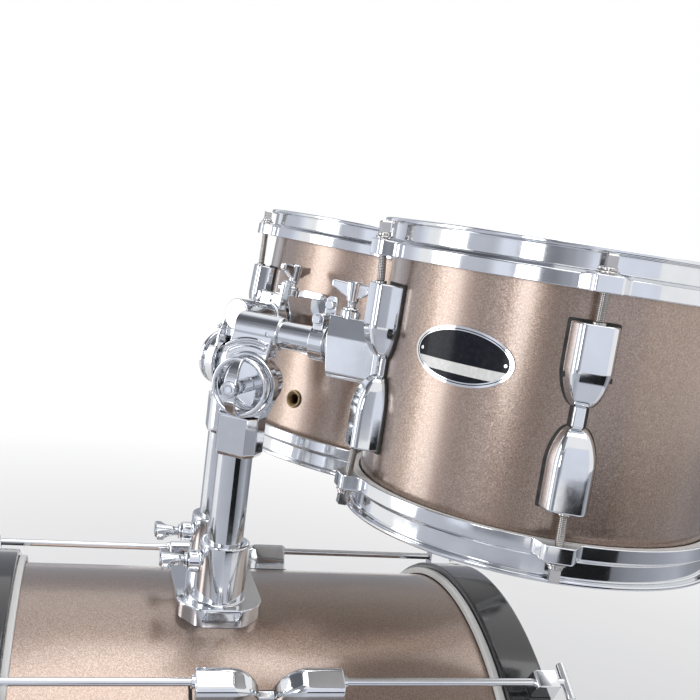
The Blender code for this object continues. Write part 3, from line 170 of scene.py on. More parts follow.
# Bass drum, post bracket and spurs
POST_PLACE = 34.2 * MM              # each post, from the middle
BASS_RADIUS, BASS_DEPTH, BASS_WALL, BASS_LUGS = 254.0 * MM, 406.0 * MM, 8.0 * MM, 6
BASS_HOOP_INSIDE, BASS_HOOP_THICKNESS, BASS_HOOP_DEPTH = mm(3.0, 8.95, 38.0)
BASS_LUG_HEIGHT, BASS_ROD_OFFSET, BASS_ROD_RADIUS = mm(27.0, 21.5, 3.2)
CLAW_HALF_WIDTH, CLAW_THICKNESS, CLAW_TAIL, CLAW_HOOK = mm(8.0, 3.0, 20.0, 6.5)
TEE_HALF, TEE_RADIUS, TEE_STANDOFF = mm(17.0, 3.8, 11.4)
MOUNT_HALF_X, MOUNT_HALF_Y, MOUNT_CORNER, MOUNT_PLATE = mm(62.0, 36.0, 16.0, 8.0)
MOUNT_SLEEVE, MOUNT_HEIGHT, MOUNT_WEB_HALF, MOUNT_WEB_HEIGHT = mm(21.0, 58.0, 6.0, 46.0)
MOUNT_WING_HEIGHT, MOUNT_BOSS, MOUNT_BOSS_REACH = mm(40.0, 8.5, 30.0)
SPUR_PLATE_HALF, SPUR_PLATE, SPUR_CORNER, SPUR_BOSS = mm(24.0, 5.0, 8.0, 14.0)
SPUR_SCREW, SPUR_SCREW_PLACE, SPUR_ROD_START = mm(3.4, 17.0, 6.0)
SPUR_STANDOFF, SPUR_HUB, SPUR_HUB_DEPTH = mm(22.0, 16.0, 27.0)
SPUR_PIN, SPUR_CAP, SPUR_CAP_HEIGHT, SPUR_LEG = mm(4.0, 5.8, 4.0, 6.35)
FOOT_RADIUS, FOOT_LENGTH, FOOT_SOLE = mm(11.8, 30.0, 7.0)

# Studio: place, target, width, height and watts of the lamps
LAMPS = {
    "side_softbox": ((-0.28, -2.6, 1.03), (0.0, 0.1, 0.75), 0.95, 2.7, 20.0),
    "front_softbox": ((2.08, -2.0, 1.2), (0.1, 0.1, 0.75), 0.6, 1.8, 15.0),
    "top_softbox": ((0.1, 0.2, 2.4), (0.0, 0.0, 0.7), 1.6, 1.6, 13.5)}
FLOOR_HALF, FLOOR_LEVEL = 12.0, 0.92
FADE_START, FADE_END = 1.0, 2.4     # distances between which the floor turns into the background

# The gaps between them show the white surroundings.
CARD_CENTRE, CARD_REACH, CARD_ROWS = 0.75, 3.0, 32
CARD_TINT = (0.95, 0.99, 1.10)
LEFT_WALL = ((-167.0, 1.0), (-158.0, 0.76), (-150.0, 0.60), (-130.0, 0.64), (-124.0, 0.85), (-119.0, 1.0))
FRONT_WALL = ((-96.0, 1.0), (-84.0, 0.62), (-67.0, 0.58), (-61.0, 0.92), (-54.0, 0.90), (-48.0, 0.32),
              (-30.0, 0.25), (-22.0, 0.40))
SIDE_WALL = ((-22.0, 0.42), (-15.0, 0.52), (-10.0, 0.85), (26.0, 0.85))
CEILING = ((-168.0, 0.95), (-150.0, 0.5), (-137.0, 0.3), (-122.0, 0.15), (-78.0, 0.13), (-66.0, 0.3),
           (-30.0, 0.3))
LEFT_LOW_WALL = ((-180.0, 0.4), (-140.0, 0.45), (-133.0, 0.9))
FRONT_LOW_WALL = ((-96.0, 1.0), (-90.0, 0.62), (-69.0, 0.57), (-50.0, 0.55), (-4.0, 0.48))
RIGHT_LOW_WALL = ((29.0, 0.2), (40.0, 0.3), (60.0, 0.42), (74.0, 0.52), (86.0, 0.36), (130.0, 0.2),
                  (152.0, 0.4))
GREY_FLOOR = ((-90.0, 0.66), (-66.0, 0.68), (-56.0, 0.42), (-20.0, 0.52), (0.0, 0.64), (30.0, 0.64))
CARDS = {
    "left_wall": (LEFT_WALL, (-13.0, 14.0), None),
    "left_slope": (LEFT_WALL, (14.0, 30.0), 0.40),
    "front_wall": (FRONT_WALL, (-13.0, 11.0), None),
    "front_slope": (FRONT_WALL, (11.0, 29.0), 0.34),
    "side_wall": (SIDE_WALL, (-9.0, 34.0), None),
    "ceiling": (CEILING, (30.0, 74.0), None),
    "left_low_wall": (LEFT_LOW_WALL, (-26.0, -13.0), None),
    "front_low_wall": (FRONT_LOW_WALL, (-26.0, -13.0), None),
    "black_flag": (((-4.0, 0.012), (29.0, 0.012)), (-26.0, -9.0), None),
    "right_low_wall": (RIGHT_LOW_WALL, (-26.0, -9.0), None),
    "grey_floor": (GREY_FLOOR, (-60.0, -26.0), None),
    "far_wall": (((150.0, 0.5), (160.0, 0.35), (192.0, 0.4)), (-9.0, 24.0), None)}

CAMERA_PLACE = (0.85348, -0.20730, 0.8832)
CAMERA_AZIMUTH, CAMERA_DOWN, CAMERA_ROLL = 74.99, 8.97, 7.39
CAMERA_LENS = 52.71                 # millimetres on a 36 mm sensor

Side = namedtuple("Side", "name tom sign radius depth drop")
SIDES = (Side("left", "high_tom", 1, HIGH_RADIUS, HIGH_DEPTH, HIGH_DROP),
         Side("right", "mid_tom", -1, MID_RADIUS, MID_DEPTH, MID_DROP))


# Meshes

def linked(name, data):
    """A new object in the scene."""
    made = bpy.data.objects.new(name, data)
    bpy.context.scene.collection.objects.link(made)
    return made


def solid(name, bm):
    bmesh.ops.remove_doubles(bm, verts=bm.verts, dist=WELD)
    bmesh.ops.recalc_face_normals(bm, faces=bm.faces)
    mesh = bpy.data.meshes.new(name)
    bm.to_mesh(mesh)
    bm.free()
    return linked(name, mesh)


def shaped(made, matrix):
    made.data.transform(matrix)
    if matrix.determinant() < 0.0:
        made.data.flip_normals()
    return made


def fillet(before, corner, after, radius, steps):
    """Points of a corner that is rounded off."""
    before, corner, after = Vector(before), Vector(corner), Vector(after)
    reach = min(radius, 0.45 * (before - corner).length, 0.45 * (after - corner).length)
    start, end = (corner + (other - corner).normalized() * reach for other in (before, after))
    return [tuple((1 - t) ** 2 * start + 2 * t * (1 - t) * corner + t ** 2 * end)
            for t in (k / steps for k in range(steps + 1))]


def rounded(outline, radius, steps=4):
    """Closed outline with its corners rounded off, each by the same number of points."""
    corners = zip([outline[-1], *outline], outline, [*outline[1:], outline[0]])
    return [point for corner in corners for point in fillet(*corner, radius, steps)]


def lathe(name, profile, steps=TUBE):
    """Turn a closed outline of (radius, height) points about Z."""
    bm = bmesh.new()
    points = [bm.verts.new((radius, 0.0, height)) for radius, height in profile]
    edges = [bm.edges.new(pair) for pair in zip(points, points[1:] + points[:1])
             if pair[0].co.x > 0.0 or pair[1].co.x > 0.0]
    bmesh.ops.spin(bm, geom=points + edges, cent=(0, 0, 0), axis=(0, 0, 1),
                   angle=TWO_PI, steps=steps, use_duplicate=False)
    return solid(name, bm)


def shift(x=0.0, y=0.0, z=0.0):
    return Matrix.Translation((x, y, z))


def onto_x(made):
    """Turn a lathed form's axis onto +X."""
    return shaped(made, Matrix.Rotation(pi / 2, 4, "Y"))


def loft(name, loops, cyclic=False):
    """Skin a row of closed loops of equal length, capped at both ends unless the row is cyclic."""
    bm = bmesh.new()
    rows = [[bm.verts.new(point) for point in loop] for loop in loops]
    count = len(rows[0])
    pairs = list(zip(rows, rows[1:])) + ([(rows[-1], rows[0])] if cyclic else [])
    for low, high in pairs:
        for i in range(count):
            j = (i + 1) % count
            bm.faces.new((low[i], low[j], high[j], high[i]))
    if not cyclic:
        bm.faces.new(rows[0])
        bm.faces.new(list(reversed(rows[-1])))
    return solid(name, bm)


def spot_on(axes, first, second, third):
    """Point whose first, second and third numbers run along the named axes."""
    spot = [0.0, 0.0, 0.0]
    for letter, value in zip(axes, (first, second, third)):
        spot["XYZ".index(letter)] = value
    return spot


def shrunk(outline, inset):
    """Outline drawn in by an inset, about its middle."""
    if not inset:
        return outline
    fits = []
    for axis in (0, 1):
        values = [point[axis] for point in outline]
        fits.append((sum(values) / len(values), 1 - 2 * inset / (max(values) - min(values))))
    (mid_x, keep_x), (mid_y, keep_y) = fits
    return [(mid_x + (x - mid_x) * keep_x, mid_y + (y - mid_y) * keep_y) for x, y in outline]


def prism(name, outline, start, end, axes="XYZ", edge=0.0):
    """Extrude an outline, with its two end edges eased by the edge size."""
    if not edge:
        rows = ((start, 0.0), (end, 0.0))
    else:
        ease = edge if end > start else -edge
        rows = ((start, edge), (start + EASED * ease, EASED * edge), (start + ease, 0.0),
                (end - ease, 0.0), (end - EASED * ease, EASED * edge), (end, edge))
    return loft(name, [[spot_on(axes, x, y, along) for x, y in shrunk(outline, inset)]
                       for along, inset in rows])


def polar(radius, turn):
    return radius * cos(turn), radius * sin(turn)


def circle(radius, sides=ROUND, turn=0.0):
    return [polar(radius, turn + TWO_PI * i / sides) for i in range(sides)]


def box_outline(low_x, low_y, high_x, high_y):
    return [(low_x, low_y), (high_x, low_y), (high_x, high_y), (low_x, high_y)]


def octagon(w, h, c):
    return [(-w + c, -h), (w - c, -h), (w, -h + c), (w, h - c),
            (w - c, h), (-w + c, h), (-w, h - c), (-w, -h + c)]


def stepped_bar(name, start, direction, steps, sides=ROUND, turn=0.0):
    """A round bar along a direction, whose radius follows (distance, radius) steps."""
    facing = Vector(direction).to_track_quat("Z", "Y").to_matrix()
    loops = [[Vector(start) + facing @ Vector((x, y, distance)) for x, y in circle(radius, sides, turn)]
             for distance, radius in steps]
    return loft(name, loops)


def bar(name, start, end, radius, sides=ROUND, edge=0.0, turn=0.0):
    """A round bar between two points, with eased ends."""
    run = Vector(end) - Vector(start)
    length = run.length
    steps = ((0.0, radius), (length, radius))
    if edge:
        steps = ((0.0, radius - edge), (EASED * edge, radius - EASED * edge), (edge, radius),
                 (length - edge, radius), (length - EASED * edge, radius - EASED * edge),
                 (length, radius - edge))
    return stepped_bar(name, start, run, steps, sides, turn)


def disc(low, high, radius, ease):
    """Steps of a bar's wider stretch with both edges eased, as (distance, radius) pairs."""
    return [(low, radius - ease), (low + ease, radius), (high - ease, radius), (high, radius - ease)]


def joined(base, *others):
    """Put separate closed forms into one mesh."""
    bm = bmesh.new()
    for part in (base, *others):
        bm.from_mesh(part.data)
    mesh = bpy.data.meshes.new(base.name)
    bm.to_mesh(mesh)
    bm.free()
    base.data = mesh
    for part in others:
        bpy.data.objects.remove(part)
    return base


def baked(made):
    """Apply a piece's modifiers to its mesh."""
    bpy.context.view_layer.update()
    graph = bpy.context.evaluated_depsgraph_get()
    mesh = bpy.data.meshes.new_from_object(made.evaluated_get(graph))
    made.modifiers.clear()
    made.data = mesh
    return made


def carve(base, *tools):
    for tool in tools:
        cut = base.modifiers.new("cut", "BOOLEAN")
        cut.operation, cut.solver, cut.object = "DIFFERENCE", "EXACT", tool
        baked(base)
        bpy.data.objects.remove(tool)
    return base


def cast(base, grain, passes):
    """Melt the forms of a casting into one skin with softly eased edges."""
    skin = base.modifiers.new("skin", "REMESH")
    skin.mode, skin.voxel_size = "VOXEL", grain
    ease = base.modifiers.new("ease", "SMOOTH")
    ease.factor, ease.iterations = 0.5, passes
    return baked(base)


def smooth(made):
    """Smooth shading in which wide faces stay flat beside their eased edges."""
    made.data.shade_smooth()
    made.data.set_sharp_from_angle(angle=SHARP)
    even = made.modifiers.new("even", "WEIGHTED_NORMAL")
    even.keep_sharp = True
    return baked(made)


# Frames

FLIP = Matrix.Rotation(pi, 4, "X")
FRAMES = {}                         # where each placed piece was built


def axes_frame(origin, x, z):
    x, z = Vector(x).normalized(), Vector(z).normalized()
    y = z.cross(x)
    made = Matrix((x, y, z)).transposed().to_4x4()
    made.translation = origin
    return made


def on_shell(radius, angle, height):
    return Matrix.Rotation(angle, 4, "Z") @ shift(radius, 0.0, height)


def handed(made, side):
    return made if side.sign < 0 else shaped(made, Matrix.Scale(-1.0, 4, (0.0, 1.0, 0.0)))


def place(made, name, matrix, body, nodes, finish, slot):
    """Name a piece, set it in its frame, let it ride and let it stand for its CAD nodes."""
    smooth(made)
    made.name = made.data.name = name
    made.data.materials.clear()
    made.data.materials.append(finish)
    FRAMES[name] = matrix
    shaped(made, matrix)
    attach(made, body)
    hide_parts(*nodes)
    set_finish(made, slot)
    return made


def twin(made, name, matrix, body, nodes):
    """Another of a placed piece, in a frame of its own."""
    copy = linked(name, made.data.copy())
    copy.data.name = name
    copy.data.transform(matrix @ FRAMES[made.name].inverted())
    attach(copy, body)
    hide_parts(*nodes)
    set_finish(copy, made["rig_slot"])
    return copy


# Materials

FLAKE_SCALE, FLAKE_TILT, CREASE = 1500.0, 0.075, 6.0 * MM
FLAKE_TINTS = ((0.0, (0.27, 0.184, 0.142)), (0.55, (0.34, 0.246, 0.194)), (1.0, (0.44, 0.336, 0.27)))


def feed(tree, made, inputs):
    """Give a node's inputs their values, or link them to other nodes' outputs."""
    for key, value in dict(inputs).items():
        if isinstance(value, bpy.types.NodeSocket):
            tree.links.new(value, made.inputs[key])
        else:
            made.inputs[key].default_value = value
    return made


def wired(name):
    """A material with its node tree, its shader and its object coordinates."""
    made = bpy.data.materials.new(name)
    made.use_nodes = True
    tree = made.node_tree
    return made, tree, tree.nodes["Principled BSDF"], node(tree, "ShaderNodeTexCoord").outputs["Object"]


def node(tree, kind, inputs=(), **settings):
    made = tree.nodes.new(kind)
    for key, value in settings.items():
        setattr(made, key, value)
    return feed(tree, made, inputs)


def ramp(tree, value, stops):
    made = node(tree, "ShaderNodeValToRGB", {"Fac": value})
    elements = made.color_ramp.elements
    while len(elements) < len(stops):
        elements.new(0.5)
    for element, (place_at, color) in zip(elements, stops):
        element.position = place_at
        element.color = (*color, 1.0)
    return made.outputs["Color"]


def grey(value):
    return (value, value, value)


def noise(tree, at, scale, detail, roughness=0.5):
    inputs = {"Vector": at, "Scale": scale, "Detail": detail, "Roughness": roughness}
    return node(tree, "ShaderNodeTexNoise", inputs).outputs["Fac"]


def mottled(tree, at, scale, detail, low, high, roughness=0.5):
    """Blotches between two (noise level, colour) stops."""
    return ramp(tree, noise(tree, at, scale, detail, roughness), (low, high))


def bump(tree, at, scale, detail, strength, distance):
    """Normal of an uneven skin."""
    inputs = {"Height": noise(tree, at, scale, detail), "Strength": strength, "Distance": distance}
    return node(tree, "ShaderNodeBump", inputs).outputs["Normal"]


def tinted(tree, color, shade):
    """A colour multiplied by a shade."""
    return node(tree, "ShaderNodeMix", {6: color, 7: shade, "Factor": 1.0},
                data_type="RGBA", blend_type="MULTIPLY").outputs[2]


def sparkle_lacquer():
    """Bronze lacquer full of metal flakes under a clear coat."""
    made, tree, shader, at = wired("bronze_sparkle_lacquer")
    flakes = node(tree, "ShaderNodeTexVoronoi", {"Vector": at, "Scale": FLAKE_SCALE}).outputs["Color"]
    tint = ramp(tree, node(tree, "ShaderNodeSeparateColor", {"Color": flakes}).outputs["Red"], FLAKE_TINTS)
    drift = mottled(tree, at, 6.0, 2.0, (0.3, grey(0.97)), (0.7, grey(1.0)))
    tilt = node(tree, "ShaderNodeVectorMath", {0: flakes, 1: grey(0.5)}, operation="SUBTRACT")
    tilt = node(tree, "ShaderNodeVectorMath", {0: tilt.outputs[0], "Scale": FLAKE_TILT}, operation="SCALE")
    facing = node(tree, "ShaderNodeNewGeometry").outputs["Normal"]
    facing = node(tree, "ShaderNodeVectorMath", {0: facing, 1: tilt.outputs[0]}, operation="ADD")
    facing = node(tree, "ShaderNodeVectorMath", {0: facing.outputs[0]}, operation="NORMALIZE")
    feed(tree, shader, {
        "Base Color": tinted(tree, tint, drift), "Normal": facing.outputs[0], "Metallic": 0.95,
        "Roughness": mottled(tree, at, 40.0, 3.0, (0.3, grey(0.285)), (0.8, grey(0.31))),
        "Coat Weight": 0.9, "Coat IOR": 1.8, "Coat Roughness": 0.18})
    return made


def chrome(name="chrome", color=(0.80, 0.815, 0.84), rough=0.055, crease_shade=0.5):
    """Bright plating with faint smudges, a slightly wavy skin, and painted shade that darkens its creases."""
    made, tree, shader, at = wired(name)
    # Painted shade: ambient occlusion darkens the base colour in creases and corners, where shade falls.
    crease = node(tree, "ShaderNodeAmbientOcclusion", {"Distance": CREASE}, samples=4, only_local=True)
    shade = ramp(tree, crease.outputs["AO"], ((0.15, grey(1.0 - crease_shade)), (0.75, grey(1.0))))
    cloud = mottled(tree, at, 55.0, 4.0, (0.3, tuple(0.93 * c for c in color)), (0.7, color))
    feed(tree, shader, {
        "Base Color": tinted(tree, cloud, shade), "Normal": bump(tree, at, 60.0, 2.0, 0.05, 0.4 * MM),
        "Roughness": mottled(tree, at, 90.0, 5.0, (0.35, grey(rough)), (0.75, grey(rough + 0.07)), 0.6),
        "Metallic": 1.0})
    return made


def coated_film():
    """White coated drum head with faint blotches and a fine sprayed grain."""
    made, tree, shader, at = wired("coated_film")
    feed(tree, shader, {
        "Base Color": mottled(tree, at, 18.0, 5.0, (0.3, (0.795, 0.795, 0.78)), (0.7, (0.83, 0.83, 0.82))),
        "Normal": bump(tree, at, 1500.0, 3.0, 0.35, 0.12 * MM),
        "Roughness": mottled(tree, at, 200.0, 3.0, (0.3, grey(0.5)), (0.7, grey(0.65)))})
    return made


def gloss(name, color, rough, coat=0.5, sheen=0.5):
    """Glossy lacquer or enamel with faint orange peel and fine dust."""
    made, tree, shader, at = wired(name)
    dusty = tuple(min(1.0, c * 1.25 + 0.012) for c in color)
    feed(tree, shader, {
        "Base Color": mottled(tree, at, 300.0, 5.0, (0.45, color), (0.8, dusty), 0.7),
        "Normal": bump(tree, at, 400.0, 2.0, 0.03, 0.3 * MM),
        "Roughness": mottled(tree, at, 30.0, 4.0, (0.3, grey(rough)), (0.75, grey(rough + 0.08))),
        "Specular IOR Level": sheen, "Coat Weight": coat, "Coat Roughness": 0.05})
    return made


def rubber():
    made, tree, shader, at = wired("black_rubber")
    feed(tree, shader, {
        "Base Color": mottled(tree, at, 120.0, 5.0, (0.4, grey(0.022)), (0.8, grey(0.06))),
        "Normal": bump(tree, at, 900.0, 3.0, 0.3, 0.2 * MM), "Roughness": 0.75})
    return made


def brass():
    made, tree, shader, at = wired("brass")
    feed(tree, shader, {
        "Base Color": mottled(tree, at, 250.0, 4.0, (0.3, (0.30, 0.21, 0.11)), (0.7, (0.46, 0.35, 0.21))),
        "Roughness": mottled(tree, at, 120.0, 4.0, (0.3, grey(0.34)), (0.7, grey(0.46))), "Metallic": 1.0})
    return made


LACQUER = sparkle_lacquer()
CHROME = chrome()
# Threaded steel takes a deeper painted shade in its creases.
STEEL = chrome("threaded_steel", (0.56, 0.54, 0.52), 0.16, 0.8)
FILM_WHITE = coated_film()
BLACK_LACQUER = gloss("black_hoop_lacquer", (0.018, 0.018, 0.02), 0.12)
ENAMEL = gloss("black_enamel", (0.007, 0.008, 0.013), 0.1, 0.0, sheen=0.15)
ENAMEL_PALE = gloss("pale_enamel", (0.60, 0.60, 0.59), 0.2, 0.2)
RUBBER = rubber()
BRASS = brass()


# Shells, heads and hoops

def shell(radius, depth, wall):
    half = depth / 2
    edge = [(radius, half - EDGE), (radius - 0.3 * EDGE, half - 0.35 * EDGE), (radius - EDGE, half),
            (radius - wall, half - EDGE_SLOPE)]
    return lathe("shell", edge + [(reach, -height) for reach, height in reversed(edge)], DRUM)


def head(radius):
    """Film, collar and flesh ring of a head that lies on the bearing edge."""
    inside, top = radius + COLLAR, GAP + FILM
    flesh, bottom = inside + FLESH_WIDTH, -FLESH_TOP - FLESH_HEIGHT
    outer = [(0.0, top), (inside - 4 * MM, top), (inside - 1.2 * MM, top - 0.15 * MM),
             (inside, top - 1.0 * MM), (inside + 0.8 * MM, -FLESH_TOP)]
    ring = rounded([(flesh, -FLESH_TOP), (flesh, bottom), (inside, bottom)], 1.2 * MM)
    return lathe("head", outer + ring + [(inside - 0.3 * MM, GAP), (0.0, GAP)], DRUM)


def hoop_section(bulge):
    """Pressed section of the hoop, with its lower flange and skirt drawn out into an ear."""
    out, up = EAR_REACH * bulge, EAR_RISE * bulge
    corners = [
        (HOOP_SKIRT - HOOP_METAL + out, -HOOP_DROP), (HOOP_SKIRT + out, -HOOP_DROP),
        (HOOP_SKIRT + out, -STEP_DROP + up), (HOOP_WALL, 0.0),
        (HOOP_WALL, HOOP_RISE - LIP_HEIGHT), (HOOP_LIP, HOOP_RISE - LIP_HEIGHT),
        (HOOP_LIP, HOOP_RISE), (HOOP_WALL - HOOP_METAL, HOOP_RISE),
        (HOOP_WALL - HOOP_METAL, -STEP_DROP),
        (HOOP_SKIRT - HOOP_METAL + out, -STEP_DROP - HOOP_METAL + up)]
    return rounded(corners, 1.1 * MM, 3)


def tom_hoop(radius):
    pitch = TWO_PI / TOM_LUGS
    ear = EAR_HALF_WIDTH / (radius + HOOP_SKIRT)
    turns = [ear * EAR_MARGIN * i / EAR_ROWS for i in range(-EAR_ROWS, EAR_ROWS + 1)]
    span = pitch - 2 * EAR_MARGIN * ear
    turns += [EAR_MARGIN * ear + span * i / SPAN_ROWS for i in range(1, SPAN_ROWS)]
    loops = []
    for sector in range(TOM_LUGS):
        for turn in turns:
            share = min(abs(turn) / ear, 1.0)
            bulge = cos(max(share - EAR_FLAT, 0.0) / (1.0 - EAR_FLAT) * pi / 2) ** 2
            angle = sector * pitch + turn
            loops.append([(*polar(radius + off, angle), up)
                          for off, up in hoop_section(bulge if share < 1.0 else 0.0)])
    return loft("hoop", loops, cyclic=True)


# Lugs and rods

def lug_rows(height):
    """Rows of the lug's rounded section, along the shell."""
    half, bridge = LUG_LENGTH / 2, LUG_BRIDGE / 2
    easing = {half - back: inset for back, inset in LUG_END}
    lengths = [0.0, 0.5 * bridge] + [bridge + LUG_CURVE * (i / 18) ** 1.6 for i in range(19)]
    lengths += [bridge + LUG_CURVE + (half - bridge - LUG_CURVE - 1.5 * MM) * i / 4 for i in range(1, 5)]
    lengths += easing
    rows = []
    for z in [-z for z in reversed(lengths[1:])] + lengths:
        run = min(max((abs(z) - bridge) / LUG_CURVE, 0.0), 1.0)
        swell = (1.0 - (1.0 - run) ** LUG_FULLNESS) ** (1 / LUG_FULLNESS)
        inset = easing.get(abs(z), 0.0)
        top = LUG_WAIST_HEIGHT + (height - LUG_WAIST_HEIGHT) * swell - inset
        base = LUG_WAIST_HALF + (LUG_BASE_HALF - LUG_WAIST_HALF) * swell - inset
        rows.append((z, base, top))
    return rows


def on_curve(radius, y):
    """Height of the shell's surface at a distance sideways, in the shell frame."""
    return sqrt((radius + GAP) ** 2 - y * y) - radius


def lug_body(radius, height):
    loops = []
    for z, base, top in lug_rows(height):
        face = base * LUG_FACE_HALF / LUG_BASE_HALF
        floor = [(on_curve(radius, base * t), base * t) for t in (-1.0, -0.6, -0.2, 0.2, 0.6, 1.0)]
        points = [floor[-1], (top / 3, base), (top, face), (top, -face), (top / 3, -base), floor[0]]
        outline = [point for corner in zip(points, points[1:], points[2:])
                   for point in fillet(*corner, LUG_SOFTNESS * top, 6)]
        loops.append([(x, y, z) for x, y in floor + outline])
    return loft("lug", loops)


def lug_gasket(radius, height):
    loops = []
    sides = (-1.0, -0.5, 0.0, 0.5, 1.0)
    for z, base, _ in lug_rows(height):
        wide = base + GASKET
        reach = z + copysign(GASKET, z) * min(1.0, abs(z) / (LUG_LENGTH / 2))
        low = [(on_curve(radius, wide * t) - 0.1 * MM, wide * t) for t in sides]
        high = [(on_curve(radius, wide * t) + GASKET_HEIGHT, wide * t) for t in reversed(sides)]
        loops.append([(x, y, reach) for x, y in low + high])
    return loft("gasket", loops)


def painted_notch_blocks(height):
    """Black blocks in both flanks of the upper foot, standing as painted shade for small square openings."""
    slope = (LUG_BASE_HALF - LUG_FACE_HALF) / (height - height / 3)
    side = LUG_BASE_HALF - max(0.0, NOTCH_UP - height / 3) * slope
    made = [prism("notch", box_outline(NOTCH_UP - NOTCH / 2, NOTCH_ALONG - NOTCH / 2,
                                       NOTCH_UP + NOTCH / 2, NOTCH_ALONG + NOTCH / 2),
                  sign * (side - 1.5 * MM), sign * (side + 0.12 * MM), "XZY") for sign in (-1, 1)]
    return joined(*made)


def thread(start, end, radius, pitch, depth):
    """Steps of a threaded stretch, as (distance, radius) pairs."""
    count = max(int((end - start) / pitch), 1)
    steps = []
    for i in range(count):
        low = start + pitch * i
        steps += [(low, radius - depth), (low + 0.4 * pitch, radius), (low + 0.6 * pitch, radius)]
    return steps + [(start + pitch * count, radius - depth), (start + pitch * count, radius)]


def flange_height(offset):
    run = HOOP_SKIRT + EAR_REACH - HOOP_WALL
    return (EAR_RISE - STEP_DROP) * (offset - HOOP_WALL) / run


def tom_rods(depth):
    """The lug's two tension rods with their washers and square heads."""
    parts = []
    for sign in (-1, 1):
        lug_end = Vector((ROD_AT_LUG, 0.0, sign * LUG_LENGTH / 2))
        run = Vector((ROD_AT_HOOP, 0.0, sign * depth / 2)) - lug_end
        seat = run.length + flange_height(ROD_AT_HOOP) + 2 * GAP
        collar = seat + WASHER_HEIGHT
        square = collar + ROD_COLLAR_HEIGHT
        steps = [(-0.5 * MM, ROD_RADIUS + 1.3 * MM), (1.2 * MM, ROD_RADIUS + 1.3 * MM),
                 (1.6 * MM, ROD_RADIUS + 0.9 * MM), (1.7 * MM, ROD_RADIUS - THREAD_DEPTH)]
        steps += thread(1.8 * MM, seat - THREAD_PLAIN, ROD_RADIUS, THREAD_PITCH, THREAD_DEPTH)
        half = ROD_HEAD / sqrt(2)
        key = ((square - GAP, half), (square + ROD_HEAD_HEIGHT - 0.9 * MM, half),
               (square + ROD_HEAD_HEIGHT, half - 1.0 * MM))
        parts += [
            stepped_bar("rod", lug_end, run, steps + [(seat, ROD_RADIUS)], THREAD),
            stepped_bar("washer", lug_end, run, disc(seat, collar, WASHER_RADIUS, 0.35 * MM), WASHER),
            stepped_bar("collar", lug_end, run, disc(collar, square, ROD_COLLAR, 0.35 * MM), WASHER),
            stepped_bar("key", lug_end, run, key, 4, pi / 4)]
    return joined(*parts)


def bass_hardware():
    """Rods, claws and tee handles of one bass drum lug."""
    hoop = BASS_HOOP_INSIDE + BASS_HOOP_THICKNESS
    back, front = hoop + GAP, BASS_DEPTH / 2 - FLESH_TOP + GAP + BASS_HOOP_DEPTH + GAP
    top, rod = BASS_ROD_OFFSET + 2 * BASS_ROD_RADIUS, BASS_ROD_OFFSET
    claw = rounded([(back, front - CLAW_TAIL), (top, front - CLAW_TAIL + CLAW_THICKNESS),
                    (top, front + CLAW_THICKNESS), (hoop - CLAW_HOOK, front + CLAW_THICKNESS),
                    (hoop - CLAW_HOOK, front), (back, front)], 1.8 * MM)
    parts = []
    for sign in (-1, 1):
        tee, start = sign * (front + TEE_STANDOFF), sign * (LUG_LENGTH / 2 - 2 * MM)
        parts += [
            prism("claw", [(x, sign * z) for x, z in claw], -CLAW_HALF_WIDTH, CLAW_HALF_WIDTH, "XZY",
                  1.2 * MM),
            bar("rod", (rod, 0, start), (rod, 0, tee), BASS_ROD_RADIUS, SMALL),
            bar("nut", (rod, 0, start), (rod, 0, sign * (LUG_LENGTH / 2 + 2.5 * MM)),
                BASS_ROD_RADIUS + 1.8 * MM, WASHER, 0.5 * MM),
            bar("tee", (rod, -TEE_HALF, tee), (rod, TEE_HALF, tee), TEE_RADIUS, SMALL, 1.6 * MM)]
    return joined(*parts)


# Badge and vent

def oval_band(radius, outer, inner, low, high, rows=96):
    """Oval ring or plate bent to the shell, between two insets and two heights over it."""
    loops = []
    for turn in (TWO_PI * i / rows for i in range(rows)):
        loop = []
        for inset, out in ((outer, low), (outer, high), (inner, high), (inner, low)):
            across = (BADGE_WIDTH / 2 - inset) * cos(turn) / radius
            loop.append((*polar(radius + out, across), (BADGE_HEIGHT / 2 - inset) * sin(turn)))
        loops.append(loop)
    return loft("band", loops, cyclic=True)


def oval_field(radius, inset, out, low=-1.0, high=1.0, rows=60, columns=24):
    """Part of the oval's face between two heights, given as shares of its half height."""
    bm = bmesh.new()
    wide, tall = BADGE_WIDTH / 2 - inset, BADGE_HEIGHT / 2 - inset
    grid = []
    for i in range(rows + 1):
        share = low + (high - low) * i / rows
        reach = wide * sqrt(max(1.0 - share * share, 0.0))
        turns = [reach * (2 * k / columns - 1) / radius for k in range(columns + 1)]
        grid.append([bm.verts.new((*polar(radius + out, turn), tall * share)) for turn in turns])
    for low_row, high_row in zip(grid, grid[1:]):
        for k in range(columns):
            bm.faces.new((low_row[k], low_row[k + 1], high_row[k + 1], high_row[k]))
    return solid("field", bm)


def vent():
    """Rolled eyelet with a rounded throat."""
    wide, lip, bore = VENT_FLANGE, VENT_LIP, VENT_BORE
    inner, tube, crest = -TOM_WALL - lip, bore + 1.2 * MM, 0.86 * wide
    profile = [(wide, GAP), (wide, GAP + 0.4 * lip), (0.97 * wide, GAP + 0.8 * lip), (crest, GAP + lip),
               (crest - 0.7 * MM, GAP + 0.85 * lip), (crest - 1.4 * MM, 0.3 * lip),
               (bore + 0.9 * MM, -0.6 * lip), (bore + 0.3 * MM, -1.6 * lip),
               (bore, -2.8 * lip), (bore, inner), (tube, inner), (tube, GAP)]
    return onto_x(lathe("vent", profile, ROUND))


# Arm, bracket, wing bolt and memory lock

